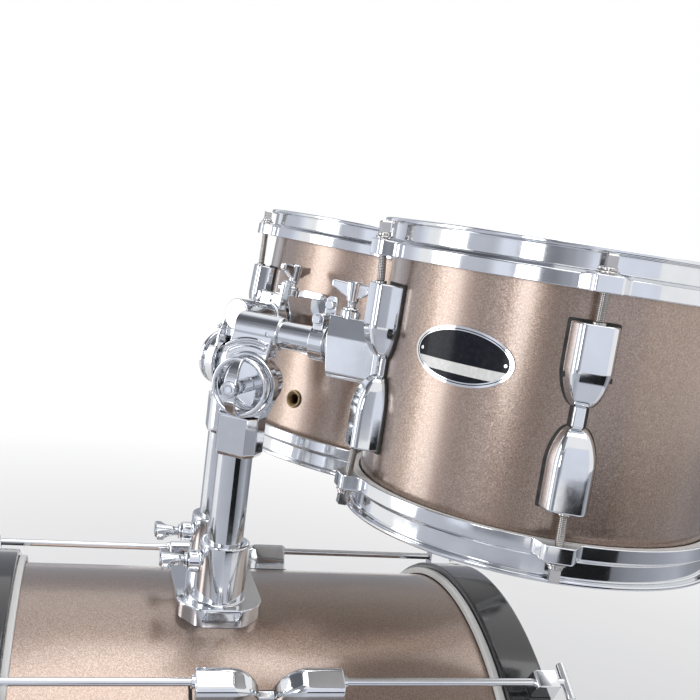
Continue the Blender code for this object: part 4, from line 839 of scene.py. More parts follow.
def wing_bolt(tip, seat):
    """Shaft, flange and two swept wings, upright along Z."""
    flange = seat + GAP
    neck = flange + WING_FLANGE_HEIGHT
    root = neck + WING_NECK
    top = root + WING_HEIGHT
    ease, narrow = 0.5 * MM, WING_ROOT * WING_HUB
    steps = [(tip, WING_BOLT_RADIUS - 0.6 * MM), (tip + 0.8 * MM, WING_BOLT_RADIUS)]
    steps += thread(tip + 1.0 * MM, flange - GAP, WING_BOLT_RADIUS, WING_PITCH, 0.45 * MM)
    steps += disc(flange, neck, WING_FLANGE, ease) + [(neck, WING_BOLT_RADIUS)]
    steps += thread(neck + 0.2 * MM, root - 0.4 * MM, WING_BOLT_RADIUS, WING_PITCH, 0.4 * MM)
    steps += [(root, narrow - ease), (root + ease, narrow), (top - 1.2 * MM, WING_HUB),
              (top - 0.4 * MM, WING_HUB - 0.5 * MM), (top, WING_HUB - 1.6 * MM)]
    parts = [stepped_bar("shaft", (0, 0, 0), (0, 0, 1), steps, 48)]
    for sign in (-1, 1):
        loops = []
        for i in range(25):
            t = i / 24
            x = sign * (0.1 + 0.9 * t) * WING_SPAN
            under = top - (0.85 - 0.42 * (3 * t * t - 2 * t ** 3)) * WING_HEIGHT
            over = top - (0.12 - 0.07 * t) * WING_HEIGHT
            thick = WING_THICKNESS / 2 * (1.0 - 0.08 * t)
            inset = (0.0, 0.25, 0.7, 1.5)[max(0, i - 21)] * MM * 0.8
            outline = box_outline(-thick + inset, under + inset, thick - inset, over - inset)
            loops.append([(x, y, z) for y, z in rounded(outline, 1.3 * MM)])
        parts.append(loft("wing", loops))
    return joined(*parts)


def tom_bracket(radius):
    """Housing on a curved plate; X = 0 is the shell, the housing stands out towards -X."""
    section = rounded([
        (-BRACKET_BOTTOM_HALF, -BRACKET_BOTTOM), (BRACKET_BOTTOM_HALF, -BRACKET_BOTTOM),
        (BRACKET_HALF, -BRACKET_KNEE), (BRACKET_HALF, BRACKET_SHOULDER),
        (BRACKET_TOP_HALF, BRACKET_TOP), (-BRACKET_TOP_HALF, BRACKET_TOP),
        (-BRACKET_HALF, BRACKET_SHOULDER), (-BRACKET_HALF, -BRACKET_KNEE)], 1.6 * MM)
    rake = BRACKET_RAKE / (BRACKET_TOP + BRACKET_BOTTOM)
    ends = ((-BRACKET_LENGTH, 1.0 * MM), (-BRACKET_LENGTH + 0.3 * MM, 0.35 * MM),
            (-BRACKET_LENGTH + 1.1 * MM, 0.0), (-1.0 * MM, 0.0))
    body = loft("bracket", [
        [(along + rake * (BRACKET_TOP - z) * min(1.0, -along / BRACKET_LENGTH), y, z)
         for y, z in shrunk(section, inset)] for along, inset in ends])
    carve(body, bar("bore", (-2 * BRACKET_LENGTH, 0, 0), (BRACKET_LENGTH, 0, 0), ARM_RADIUS + GAP, TUBE))
    plate = rounded(octagon(PLATE_HALF_WIDTH, PLATE_HALF_HEIGHT, PLATE_CORNER), 4 * MM, 5)
    rows = ((0.0, 0.0), (PLATE_THICKNESS - 1.2 * MM, 0.0),
            (PLATE_THICKNESS - 0.35 * MM, 0.4 * MM), (PLATE_THICKNESS, 1.4 * MM))
    loops = [[(-on_curve(radius, y) - out, y, z) for y, z in shrunk(plate, inset)] for out, inset in rows]
    loops += [[(-on_curve(radius, y * k) - PLATE_THICKNESS, y * k, z * k) for _, y, z in loops[-1]]
              for k in (0.75, 0.5, 0.25)]
    boss = bar("boss", (-WING_OFFSET, 0, ARM_RADIUS), (-WING_OFFSET, 0, BRACKET_TOP + WING_BOSS_HEIGHT),
               WING_BOSS, ROUND, 0.8 * MM)
    rib = rounded(box_outline(-BRACKET_BOTTOM_HALF - 1.3 * MM, -BRACKET_BOTTOM - 0.02 * MM,
                              BRACKET_BOTTOM_HALF + 1.3 * MM, -BRACKET_BOTTOM + 2.0 * MM), 0.7 * MM)
    keel = prism("keel", rib, -BRACKET_LENGTH + BRACKET_RAKE + 0.4 * MM, -2 * MM, "YZX", 0.5 * MM)
    return joined(body, loft("plate", loops), boss, keel)


def tom_arm():
    inside, ease = ARM_RADIUS - ARM_WALL, 0.5 * MM
    made = lathe("arm", [(ARM_RADIUS, 0.0), (ARM_RADIUS, ARM_LENGTH - ease), (ARM_RADIUS - ease, ARM_LENGTH),
                         (inside, ARM_LENGTH), (inside, 0.0)])
    return shaped(onto_x(made), shift(SLEEVE_START + SLEEVE_END_WALL + GAP, 0.0, ARM_RISE))


def memory_lock():
    """Split collar with its upright ear, square-headed key bolt and locating pin."""
    half, back = LOCK_WIDTH / 2, -LOCK_EAR_SIDE - LOCK_EAR_THICKNESS
    ring = rounded(box_outline(ARM_RADIUS + GAP, -half, LOCK_RADIUS, half), 0.9 * MM)
    ear = rounded([(-half + 1 * MM, LOCK_ROOT), (half - 1 * MM, LOCK_ROOT),
                   (half - 2 * MM, LOCK_EAR_TOP), (-half + 2 * MM, LOCK_EAR_TOP)], 3.4 * MM, 8)
    saddle = box_outline(-half + 2 * MM, LOCK_RADIUS - 5 * MM, half - 2 * MM, LOCK_SADDLE_TOP)
    saddle = rounded(saddle, 1.2 * MM)
    key, pin, square = LOCK_KEY_HEIGHT, LOCK_PIN_HEIGHT, LOCK_KEY_HEIGHT - 3.2 * MM
    return joined(
        onto_x(lathe("collar", ring)),
        prism("ear", ear, back, -LOCK_EAR_SIDE, "XZY", 0.8 * MM),
        prism("saddle", saddle, -LOCK_EAR_SIDE - GAP, -0.8 * MM, "XZY", 0.7 * MM),
        prism("jaw", saddle, 0.8 * MM, LOCK_SADDLE_SIDE, "XZY", 0.7 * MM),
        bar("key", (0, -2 * MM, key), (0, LOCK_RADIUS, key), LOCK_KEY, ROUND, 0.6 * MM),
        bar("nut", (0, LOCK_RADIUS - 0.2 * MM, key), (0, LOCK_RADIUS + LOCK_KEY_REACH, key),
            0.9 * LOCK_KEY, 4, 0.5 * MM, pi / 4),
        bar("washer", (0, LOCK_SADDLE_SIDE, key), (0, LOCK_RADIUS, key), LOCK_KEY + 0.4 * MM,
            ROUND, 0.4 * MM),
        bar("pin", (0, back + GAP, pin), (0, -LOCK_PIN_SIDE, pin), LOCK_PIN, ROUND, 0.9 * MM),
        bar("post", (0, -LOCK_EAR_SIDE, square), (0, 0, square), 0.5 * LOCK_KEY, 24))


# Tilter

def crown(x, base, root, tip):
    """Ring of radial teeth on a disc's face, about an axis along Y at the given X."""
    loops = []
    for i in range(2 * TEETH):
        angle = pi * i / TEETH
        height = tip if i % 2 else root
        loops.append([(x + radius * cos(angle), y, radius * sin(angle))
                      for radius, y in ((TOOTH_INNER, base), (TOOTH_OUTER, base),
                                        (TOOTH_OUTER, height), (TOOTH_INNER, height))])
    return loft("crown", loops, cyclic=True)


def about_y(made, x=0.0, z=0.0):
    """Turn a lathed form's axis onto +Y and move it to a place in the tilter."""
    return shaped(made, Matrix.Translation((x, 0.0, z)) @ Matrix.Rotation(-pi / 2, 4, "X"))


def tilt_casting():
    """Arm sleeve, web with its arched ribs, and the cupped disc with the ratchet behind it."""
    bore_start, sleeve_end = SLEEVE_START + SLEEVE_END_WALL, SLEEVE_START + SLEEVE_LENGTH
    web_front = CUP_BACK + WEB_THICKNESS
    web = [(SLEEVE_START + 0.6 * MM, ARM_RISE), WEB_SHOULDER]
    web += [polar(WEB_FOOT * CUP_RADIUS, radians(turn)) for turn in (170.0, 10.0, 58.0)]
    web += [WEB_WAIST, (sleeve_end - SLEEVE_END_WALL, ARM_RISE)]
    saddle = box_outline(bore_start, SADDLE_BOTTOM, bore_start + SADDLE_LENGTH, ARM_RISE)
    parts = [
        bar("sleeve", (SLEEVE_START, 0, ARM_RISE), (sleeve_end, 0, ARM_RISE), SLEEVE_RADIUS, TUBE, 0.8 * MM),
        prism("web", web, CUP_BACK, web_front, "XZY"),
        prism("saddle", saddle, -SADDLE_HALF, CUP_BACK + WEB_THICKNESS / 2, "XZY"),
        bar("cup", (0, CUP_BACK, 0), (0, CUP_FRONT, 0), CUP_RADIUS, TUBE)]
    for rise, width in RIBS:
        arch = [polar(CUP_RADIUS + rise + side * width, radians(turn))
                for side, turns in ((1, range(70, 131, 4)), (-1, range(130, 69, -4))) for turn in turns]
        parts.append(prism("rib", arch, CUP_BACK + WEB_THICKNESS / 2, web_front + 1.4 * MM, "XZY"))
    body = cast(joined(*parts), 0.45 * MM, 4)
    dish = CUP_RADIUS - CUP_RIM
    carve(body,
          stepped_bar("dish", (0, CUP_BACK, 0), (0, 1, 0), (
              (CUP_FLOOR, dish - CUP_FLARE), (CUP_DEPTH, dish + CUP_FLARE),
              (2 * CUP_DEPTH, dish + CUP_FLARE)), TUBE),
          bar("bore", (bore_start, 0, ARM_RISE), (2 * sleeve_end, 0, ARM_RISE), ARM_RADIUS + GAP, TUBE),
          bar("screw_hole", (SET_SCREW_PLACE, 0, ARM_RISE), (SET_SCREW_PLACE, 2 * SLEEVE_RADIUS, ARM_RISE),
              SET_SCREW, SMALL))
    screw = bar("screw", (SET_SCREW_PLACE, ARM_RADIUS + 0.5 * MM, ARM_RISE),
                (SET_SCREW_PLACE, SLEEVE_RADIUS - 0.9 * MM, ARM_RISE), SET_SCREW - 0.15 * MM, SMALL)
    floor = CUP_BACK + CUP_FLOOR
    rim = box_outline(dish - 2.6 * MM, floor - 0.3 * MM, dish - 1.6 * MM, floor + 0.8 * MM)
    return joined(
        body, crown(0.0, CUP_BACK + TOOTH_HEIGHT, CUP_BACK - TOOTH_LAND, CUP_BACK - TOOTH_HEIGHT),
        screw, about_y(lathe("rim", rounded(rim, 0.3 * MM))))


def swivel_casting():
    """Clamp for the post, neck, toothed disc and the pivot bolt through it."""
    bottom, top, axis = -CLAMP_BOTTOM, -CLAMP_TOP, TILT_FORWARD
    plan = [(-CLAMP_FACE_LEFT, CLAMP_FACE)]
    plan += [polar(CLAMP_RADIUS, radians(turn)) for turn in range(124, 284, 8)]
    plan += [(0.75 * CLAMP_RIGHT, -0.8 * CLAMP_RADIUS), (CLAMP_RIGHT, -0.4 * CLAMP_RADIUS),
             (CLAMP_RIGHT, 0.5 * CLAMP_RADIUS), (CLAMP_FACE_RIGHT, CLAMP_FACE)]
    clamp = loft("clamp", [[(CLAMP_TAPER * x, CLAMP_TAPER * y, bottom) for x, y in plan],
                           [(x, y, bottom + CLAMP_CHAMFER) for x, y in plan],
                           [(x, y, top) for x, y in plan]])
    foot, wide, slim = top - CLAMP_CHAMFER, NECK_WIDTH * DISC_RADIUS, NECK_TOP * DISC_RADIUS
    shoulder = -NECK_SHOULDER * DISC_RADIUS
    neck = [(-NECK_WIDTH * CLAMP_RADIUS, foot), (NECK_WIDTH * CLAMP_RIGHT, foot), (axis + wide, shoulder),
            (axis + slim, 0.0), (axis - slim, 0.0), (axis - wide, shoulder)]
    body = joined(clamp,
                  prism("neck", neck, NECK_INSET - DISC_BACK, DISC_FRONT - NECK_INSET, "XZY"),
                  bar("disc", (axis, -DISC_BACK, 0), (axis, DISC_FRONT, 0), DISC_RADIUS, TUBE))
    cast(body, 0.5 * MM, 4)
    slot = box_outline(-CLAMP_SLOT / 2, -2 * CLAMP_RADIUS, CLAMP_SLOT / 2, 0.0)
    carve(body,
          bar("socket", (0, 0, 2 * bottom), (0, 0, bottom + POST_INSERT + GAP), POST_RADIUS + GAP, TUBE),
          prism("slot", slot, bottom - GAP, bottom + CLAMP_SLOT_HEIGHT))
    pivot = [(0.0, PIVOT_BOLT)] + thread(DISC_BACK + CUP_BACK, DISC_BACK + KNOB_FRONT - KNOB_CAP - 1 * MM,
                                         PIVOT_BOLT, PIVOT_PITCH, 0.5 * MM)
    hexagon = ((0.0, PIVOT_HEAD - 1 * MM), (0.7 * MM, PIVOT_HEAD), (PIVOT_HEAD_HEIGHT + GAP, PIVOT_HEAD))
    return joined(
        body, crown(axis, DISC_FRONT - TOOTH_HEIGHT, DISC_FRONT + TOOTH_LAND, DISC_FRONT + TOOTH_HEIGHT),
        stepped_bar("bolt", (axis, -DISC_BACK, 0), (0, 1, 0), pivot, WASHER),
        stepped_bar("hexagon", (axis, -DISC_BACK - PIVOT_HEAD_HEIGHT, 0), (0, 1, 0), hexagon, 6))


def ring_knob():
    """Ring on an arched cross-bar, whose hub runs on the pivot bolt."""
    half, inside = RING_DEPTH / 2, RING_RADIUS - RING_WIDTH
    middle = RING_BACK + half
    ring = rounded(box_outline(inside, middle - half, RING_RADIUS, middle + half), 1.5 * MM, 6)
    reach, rise = RING_RADIUS - RING_WIDTH / 2, KNOB_FRONT - BAIL_THICKNESS - middle
    stations = []
    for i in range(49):
        share = sin(radians(-90 + 180 * i / 48))
        arch = sqrt(max(1.0 - share * share, 0.0))
        width = BAIL_NARROW + (BAIL_WIDE - BAIL_NARROW) * arch ** 1.6
        y, z = middle + rise * arch, reach * share
        lean = Vector((0.0, arch, share)).normalized()
        outline = box_outline(-width, -BAIL_THICKNESS / 2, width, BAIL_THICKNESS / 2)
        stations.append([(across, y + lean.y * out, z + lean.z * out)
                         for across, out in rounded(outline, 1.0 * MM)])
    back, front = CUP_BACK + CUP_FLOOR + GAP, KNOB_FRONT
    hub = ((back, KNOB_SLEEVE - 0.5 * MM), (back + 0.5 * MM, KNOB_SLEEVE),
           (front - KNOB_HUB_DEPTH, KNOB_SLEEVE), (front - KNOB_HUB_DEPTH, KNOB_HUB),
           (front - 0.8 * MM, KNOB_HUB), (front - 0.2 * MM, KNOB_HUB - 0.3 * MM),
           (front, KNOB_HUB - 1.0 * MM), (front, 4.3 * MM), (front - 0.7 * MM, 4.0 * MM),
           (front - 0.7 * MM, 3.4 * MM), (front - 0.1 * MM, 3.0 * MM), (front, 2.2 * MM))
    return joined(about_y(lathe("ring", ring, RING)), loft("bail", stations),
                  stepped_bar("hub", (0, 0, 0), (0, 1, 0), hub))


# Post bracket and spurs

def post_bracket():
    """Plate with a sleeve and a boss for each post. Origin on the bass drum's axis."""
    plate = rounded(octagon(MOUNT_HALF_X, MOUNT_HALF_Y, MOUNT_CORNER), 8 * MM, 6)
    base, wing = BASS_RADIUS, BASS_RADIUS + MOUNT_WING_HEIGHT
    web = box_outline(-POST_PLACE, -MOUNT_WEB_HALF, POST_PLACE, MOUNT_WEB_HALF)
    parts = [prism("plate", plate, base - 20 * MM, base + MOUNT_PLATE),
             prism("web", web, base, base + MOUNT_WEB_HEIGHT)]
    cutters = [prism("seat", circle(base + GAP, DRUM), -2 * MOUNT_HALF_Y, 2 * MOUNT_HALF_Y, "XZY")]
    for x in (-POST_PLACE, POST_PLACE):
        parts += [bar("sleeve", (x, 0, base), (x, 0, base + MOUNT_HEIGHT), MOUNT_SLEEVE, TUBE),
                  bar("boss", (x, 0, wing), (x, -MOUNT_BOSS_REACH, wing), MOUNT_BOSS)]
        cutters.append(bar("bore", (x, 0, base / 2), (x, 0, 2 * base), POST_RADIUS + GAP, TUBE))
    return carve(cast(joined(*parts), 0.9 * MM, 5), *cutters)


def spur_bracket():
    hub = SPUR_STANDOFF + GAP + SPUR_HUB_DEPTH + GAP
    outline = rounded(octagon(SPUR_PLATE_HALF, SPUR_PLATE_HALF, SPUR_CORNER), 4 * MM, 5)
    loops = [[(on_curve(BASS_RADIUS, y), y, z) for y, z in outline]]
    loops += [[(SPUR_PLATE - drop, y, z) for y, z in shrunk(outline, inset)]
              for drop, inset in ((1.2 * MM, 0.0), (0.3 * MM, 0.4 * MM), (0.0, 1.4 * MM))]
    ease = 0.8 * MM
    boss = stepped_bar("boss", (0, 0, 0), (1, 0, 0), (
        (SPUR_PLATE - MM, SPUR_BOSS + 3 * MM), (SPUR_PLATE + 1.5 * MM, SPUR_BOSS + 0.6 * MM),
        (SPUR_PLATE + 4 * MM, SPUR_BOSS), (SPUR_STANDOFF - ease, SPUR_BOSS),
        (SPUR_STANDOFF, SPUR_BOSS - ease), (SPUR_STANDOFF, SPUR_PIN), (hub, SPUR_PIN),
        (hub, SPUR_CAP - 0.4 * MM), (hub + 0.4 * MM, SPUR_CAP),
        (hub + SPUR_CAP_HEIGHT - ease, SPUR_CAP), (hub + SPUR_CAP_HEIGHT, SPUR_CAP - ease)))
    low, high = SPUR_PLATE - MM, SPUR_PLATE + 1.6 * MM
    screws = [bar("screw", (low, y, z), (high, y, z), SPUR_SCREW, SMALL, 0.7 * MM)
              for y in (-SPUR_SCREW_PLACE, SPUR_SCREW_PLACE) for z in (-SPUR_SCREW_PLACE, SPUR_SCREW_PLACE)]
    return joined(loft("plate", loops), boss, *screws)


def spur_leg(outward, run, length):
    half = SPUR_HUB_DEPTH / 2
    hub = bar("hub", -half * outward, half * outward, SPUR_HUB, TUBE, 1.0 * MM)
    carve(hub, bar("bore", -2 * half * outward, 2 * half * outward, SPUR_PIN + GAP))
    return joined(hub, bar("rod", SPUR_ROD_START * run, length * run, SPUR_LEG, ROUND, 0.5 * MM))


def spur_foot(run, length, floor):
    """Ribbed rubber tip in line with the leg, cut flat where it stands."""
    start = length - FOOT_LENGTH + FOOT_SOLE
    steps = [(start, SPUR_LEG + 1.0 * MM), (start + 1.2 * MM, SPUR_LEG + 2.4 * MM),
             (start + 5 * MM, FOOT_RADIUS - 1.5 * MM)]
    for i in range(4):
        low = start + (7 + 4 * i) * MM
        steps += [(low, FOOT_RADIUS), (low + 2.4 * MM, FOOT_RADIUS),
                  (low + 2.8 * MM, FOOT_RADIUS - 0.8 * MM), (low + 3.6 * MM, FOOT_RADIUS - 0.8 * MM)]
    steps += [(start + 24 * MM, FOOT_RADIUS), (length + 2 * FOOT_LENGTH, FOOT_RADIUS)]
    reach, end = 4 * FOOT_LENGTH, length * run
    ground = box_outline(end.x - reach, end.y - reach, end.x + reach, end.y + reach)
    return carve(stepped_bar("tip", (0, 0, 0), run, steps), prism("ground", ground, floor - reach, floor))


# Assembly

def dress(made, name, matrix, body, finish=CHROME, slot="chrome"):
    """Place the piece that stands for the CAD node of this name."""
    return place(made, f"{name}_fine", matrix, body, [name], finish, slot)


def place_lugs(owner, middle, radius, height, count, others):
    """Pieces of every lug round a drum, each made once and repeated."""
    for made, part, finish, slot in ((lug_body(radius, height), "body", CHROME, "chrome"),
                                     (lug_gasket(radius, height), "gasket", RUBBER, "rubber"), *others):
        first = None
        for i in range(count):
            spot = middle @ on_shell(radius, TWO_PI * i / count, 0.0)
            label, nodes = f"{owner}_lug_{i + 1}_{part}", [f"{owner}_lug_{i + 1}"]
            if first:
                twin(first, label, spot, owner, nodes)
            else:
                first = place(made, label, spot, owner, nodes, finish, slot)


def dress_tom(side, hanger):
    """A tom with its bracket; the hanger's X axis is the arm's."""
    name, radius, half = side.tom, side.radius, side.depth / 2
    drum = hanger @ shift(z=side.drop)
    middle, under = drum @ shift(z=-half), drum @ shift(z=-side.depth) @ FLIP
    dress(tom_bracket(radius), f"{name}_bracket", hanger @ shift(-radius), name)
    dress(wing_bolt(ARM_RADIUS + GAP, BRACKET_TOP + WING_BOSS_HEIGHT), f"{name}_wing_bolt",
          hanger @ shift(-radius - WING_OFFSET), f"{name}_wing_bolt")
    vent_height = VENT_RISE - side.depth
    barrel = carve(shell(radius, side.depth, TOM_WALL), *[
        bar("hole", (-2 * radius, 0, height), (0, 0, height), hole)
        for height, hole in ((half - side.drop, ARM_HOLE), (half + vent_height, VENT_HOLE))])
    dress(barrel, f"{name}_shell", middle, name, LACQUER, "lacquer")
    film = dress(head(radius), f"{name}_batter_head", drum, name, FILM_WHITE, "film")
    twin(film, f"{name}_resonant_head_fine", under, name, [f"{name}_resonant_head"])
    hoop = dress(tom_hoop(radius), f"{name}_batter_hoop", drum, name)
    twin(hoop, f"{name}_resonant_hoop_fine", under, name, [f"{name}_resonant_hoop"])
    place_lugs(name, middle, radius, LUG_HEIGHT, TOM_LUGS,
               # Painted shade: black rubber blocks stand for the dark inside of the lug's small openings.
               ((painted_notch_blocks(LUG_HEIGHT), "notches", RUBBER, "rubber"),
                (tom_rods(side.depth), "rods", STEEL, "chrome")))
    dress(vent(), f"{name}_air_vent", drum @ on_shell(radius, pi, vent_height), name, BRASS, "brass")
    if name == "high_tom":
        dress_badge(drum @ shift(z=-BADGE_DROP) @ Matrix.Rotation(BADGE_TURN, 4, "Z"), radius)


def dress_badge(matrix, radius):
    """Enamelled oval with a doubled chrome rim and two rivets, and nothing written on it."""
    parts = [oval_band(radius, 0.0, 1.5 * MM, GAP, GAP + 1.2 * MM),
             oval_band(radius, 2.1 * MM, 2.9 * MM, GAP, GAP + 1.15 * MM)]
    for sign in (-1, 1):
        out = Vector((*polar(1.0, sign * (BADGE_WIDTH / 2 - RIVET_PLACE) / radius), 0.0))
        spot = (radius + GAP + 0.7 * MM) * out
        parts.append(bar("rivet", spot, spot + out * 0.45 * MM, 1.25 * MM, SMALL, 0.3 * MM))
    for made, part, finish, slot in (
            (joined(*parts), "rim", CHROME, "chrome"),
            (oval_field(radius, 0.7 * MM, GAP + 0.62 * MM), "field", ENAMEL, "badge"),
            (oval_field(radius, 2.95 * MM, GAP + 0.72 * MM, -0.72, -0.28, 20), "band", ENAMEL_PALE, "badge")):
        place(made, f"high_tom_badge_{part}", matrix, "high_tom", ["high_tom_badge"], finish, slot)


def dress_holder(side):
    """Post, tilter, arm and memory lock; returns the frame that the tom hangs in."""
    name = side.name
    tilt_joint, roll_joint = JOINTS[f"{name}_tilt"], JOINTS[f"{name}_arm_roll"]
    wing_joint = JOINTS[f"{side.tom}_wing_turn"]
    arm, axle = Vector(roll_joint["axis"]), Vector(tilt_joint["axis"])
    swivel = axes_frame(JOINTS[f"{name}_swivel"]["pos_m"], axle.cross(Vector((0, 0, 1))), (0, 0, 1))
    tilt = axes_frame(tilt_joint["pos_m"], arm, arm.cross(axle))
    lock = axes_frame(roll_joint["pos_m"], arm, wing_joint["axis"])
    low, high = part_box(f"{name}_post")
    inside, ease = POST_RADIUS - POST_WALL, 0.6 * MM
    tube = lathe("post", [(POST_RADIUS, low.z + ease), (POST_RADIUS, high.z), (inside, high.z),
                          (inside, low.z), (POST_RADIUS - ease, low.z)])
    dress(tube, f"{name}_post", shift((low.x + high.x) / 2, (low.y + high.y) / 2), f"{name}_post")
    for part, build, matrix, body in (("swivel_casting", swivel_casting, swivel, "swivel"),
                                      ("tilt_casting", tilt_casting, tilt, "tilt"),
                                      ("ring_knob", ring_knob, tilt, "ring_knob"),
                                      ("tom_arm", tom_arm, tilt, "tilt"),
                                      ("memory_lock", memory_lock, lock, "lock")):
        dress(handed(build(), side), f"{name}_{part}", matrix, f"{name}_{body}")
    shell_middle = Vector(wing_joint["pos_m"]) + arm * (side.radius + WING_OFFSET)
    return axes_frame(shell_middle, arm, wing_joint["axis"])


def dress_bass():
    body = "bass_drum"
    low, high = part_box("bass_drum_shell")
    centre = (low + high) / 2
    drum = axes_frame(centre, (1, 0, 0), (0, -1, 0))
    barrel = shell(BASS_RADIUS, BASS_DEPTH, BASS_WALL)
    for side in SIDES:
        x, _, z = drum.inverted() @ Vector(JOINTS[f"{side.name}_swivel"]["pos_m"])
        carve(barrel, bar("hole", (x, 0, z), (x, 2 * BASS_RADIUS, z), POST_HOLE))
    dress(barrel, "bass_drum_shell", drum, body, LACQUER, "lacquer")
    edge = shift(z=BASS_DEPTH / 2)
    film = dress(head(BASS_RADIUS), "bass_drum_front_head", drum @ edge, body, FILM_WHITE, "film")
    twin(film, "bass_drum_rear_head_fine", drum @ FLIP @ edge, body, ["bass_drum_rear_head"])
    back, inside = BASS_DEPTH / 2 - FLESH_TOP + GAP, BASS_RADIUS + BASS_HOOP_INSIDE
    section = box_outline(inside, back, inside + BASS_HOOP_THICKNESS, back + BASS_HOOP_DEPTH)
    rim = dress(lathe("hoop", rounded(section, 2.5 * MM, 6), DRUM), "bass_drum_front_hoop", drum, body,
                BLACK_LACQUER, "hoop")
    twin(rim, "bass_drum_rear_hoop_fine", drum @ FLIP, body, ["bass_drum_rear_hoop"])
    place_lugs(body, drum, BASS_RADIUS, BASS_LUG_HEIGHT, BASS_LUGS,
               ((bass_hardware(), "rods", CHROME, "chrome"),))
    dress(post_bracket(), "post_bracket", shift(0.0, JOINTS["left_swivel"]["pos_m"][1], centre.z), body)
    for side in SIDES:
        turn = JOINTS[f"{side.name}_post_wing_turn"]
        dress(wing_bolt(POST_RADIUS + GAP, MOUNT_BOSS_REACH), f"{side.name}_post_wing_bolt",
              axes_frame(turn["pos_m"], (1, 0, 0), turn["axis"]), f"{side.name}_post_wing_bolt")
        dress_spur(side)


def dress_spur(side):
    spur, joint = f"{side.name}_spur", JOINTS[f"{side.name}_spur_fold"]
    pivot, outward = Vector(joint["pos_m"]), Vector(joint["axis"])
    outward = outward if outward.x * side.sign > 0 else -outward
    stand = pivot - outward * (SPUR_STANDOFF + GAP + SPUR_HUB_DEPTH / 2)
    dress(spur_bracket(), f"{spur}_bracket", axes_frame(stand, outward, (0, -1, 0)), "bass_drum")
    sole = next(mount for mount in frame["record"]["mounts"] if mount["name"] == f"{spur}_sole")
    run = Vector(sole["pos_m"]) - pivot
    full = run.length
    run.normalize()
    length = full * (1 - FOOT_SOLE / pivot.z)
    here = Matrix.Translation(pivot)
    dress(spur_leg(outward, run, length), f"{spur}_leg", here, spur)
    dress(spur_foot(run, length, -pivot.z), f"{spur}_foot", here, spur, RUBBER, "rubber")


# Stage, lamps and camera

def floor_finish():
    made, tree, shader, at = wired("floor")
    feed(tree, shader, {"Base Color": (*grey(FLOOR_LEVEL), 1.0), "Roughness": 0.9})
    reach = node(tree, "ShaderNodeVectorMath", {0: at}, operation="LENGTH").outputs["Value"]
    far = node(tree, "ShaderNodeMapRange", {"Value": reach, "From Min": FADE_START, "From Max": FADE_END})
    glow = node(tree, "ShaderNodeEmission", {"Strength": 1.0})
    mixed = node(tree, "ShaderNodeMixShader", {0: far.outputs["Result"], 1: shader.outputs[0],
                                               2: glow.outputs[0]})
    feed(tree, tree.nodes["Material Output"], {"Surface": mixed.outputs[0]})
    return made


def stage():
    bm = bmesh.new()
    bmesh.ops.create_grid(bm, x_segments=1, y_segments=1, size=FLOOR_HALF)
    floor = solid("floor", bm)
    floor.data.materials.append(floor_finish())


def lamp(name, place_at, target, width, height, watts):
    data = bpy.data.lights.new(name, "AREA")
    data.shape, data.size, data.size_y, data.energy = "RECTANGLE", width, height, watts
    made = linked(name, data)
    made.location = place_at
    made.rotation_euler = (Vector(target) - Vector(place_at)).to_track_quat("-Z", "Y").to_euler()


def level_at(stops, value):
    """Level between (place, level) stops."""
    for (low, before), (high, after) in zip(stops, stops[1:]):
        if value <= high:
            return before + (after - before) * max(0.0, value - low) / (high - low)
    return stops[-1][1]


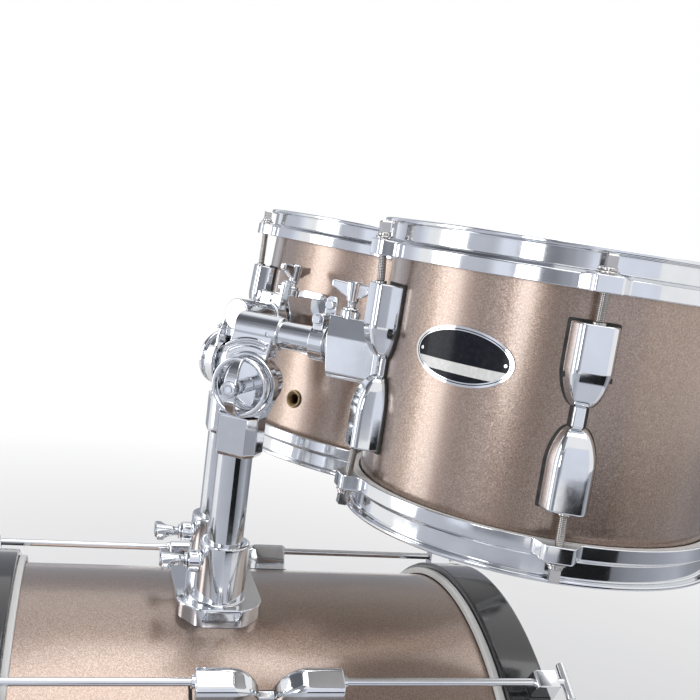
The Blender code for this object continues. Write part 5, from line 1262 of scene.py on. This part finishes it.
def card(name, stops, elevations, top):
    """Studio card that only reflections see; what would lie under the floor lies on it."""
    bm = bmesh.new()
    shades = bm.verts.layers.float_color.new("level")
    rows = []
    for i in range(CARD_ROWS + 1):
        azimuth = stops[0][0] + (stops[-1][0] - stops[0][0]) * i / CARD_ROWS
        row = []
        for k in range(CARD_ROWS // 2 + 1):
            share = 2 * k / CARD_ROWS
            lift = radians(elevations[0] + (elevations[1] - elevations[0]) * share)
            run = Vector((*polar(cos(lift), radians(azimuth)), sin(lift)))
            reach = min(CARD_REACH, (CARD_CENTRE - 2 * MM) / -run.z) if run.z < 0.0 else CARD_REACH
            spot = bm.verts.new(Vector((0.0, 0.0, CARD_CENTRE)) + reach * run)
            level = level_at(stops, azimuth)
            if top is not None:
                level += (min(top, level) - level) * share
            spot[shades] = (*(min(1.0, level * part) for part in CARD_TINT), 1.0)
            row.append(spot)
        rows.append(row)
    for low, high in zip(rows, rows[1:]):
        for k in range(CARD_ROWS // 2):
            bm.faces.new((low[k], low[k + 1], high[k + 1], high[k]))
    made = solid(name, bm)
    finish, tree, *_ = wired(name)
    shade = node(tree, "ShaderNodeVertexColor", layer_name="level").outputs["Color"]
    glow = node(tree, "ShaderNodeEmission", {"Color": shade, "Strength": 1.0})
    feed(tree, tree.nodes["Material Output"], {"Surface": glow.outputs[0]})
    made.data.materials.append(finish)
    made.visible_camera = made.visible_diffuse = made.visible_shadow = False


def light():
    """White surroundings, a dimmer even light on matt surfaces, softboxes and darker cards."""
    for name, values in LAMPS.items():
        lamp(name, *values)
    for name, values in CARDS.items():
        card(name, *values)
    world = bpy.data.worlds.new("studio")
    bpy.context.scene.world = world
    world.use_nodes = True
    tree = world.node_tree
    tree.nodes.clear()
    path = node(tree, "ShaderNodeLightPath").outputs
    shown = path["Is Camera Ray"]
    for other in ("Is Glossy Ray", "Is Transmission Ray"):
        shown = node(tree, "ShaderNodeMath", {0: shown, 1: path[other]}, operation="MAXIMUM").outputs[0]
    soft = node(tree, "ShaderNodeBackground", {"Color": (0.8, 0.8, 0.82, 1.0), "Strength": 0.7})
    white = node(tree, "ShaderNodeBackground", {"Color": (1.0, 1.0, 1.0, 1.0), "Strength": 1.0})
    outer = node(tree, "ShaderNodeMixShader", {0: shown, 1: soft.outputs[0], 2: white.outputs[0]})
    node(tree, "ShaderNodeOutputWorld", {"Surface": outer.outputs[0]})


def camera():
    azimuth, down, roll = (radians(v) for v in (CAMERA_AZIMUTH, CAMERA_DOWN, CAMERA_ROLL))
    side, ahead = polar(cos(down), azimuth)
    forward = Vector((-ahead, side, -sin(down)))
    level = Vector((*polar(1.0, azimuth), 0.0))
    upright = level.cross(forward)
    right = cos(roll) * level + sin(roll) * upright
    up = cos(roll) * upright - sin(roll) * level
    data = bpy.data.cameras.new("camera")
    data.lens, data.sensor_width, data.clip_start = CAMERA_LENS, 36.0, 0.05
    made = linked("camera", data)
    made.matrix_world = Matrix((right, up, -forward)).transposed().to_4x4()
    made.location = CAMERA_PLACE
    bpy.context.scene.camera = made


def main():
    dress_bass()
    for side in SIDES:
        dress_tom(side, dress_holder(side))
    stage()
    light()
    camera()
    bpy.context.scene.view_settings.view_transform = "Standard"


main()
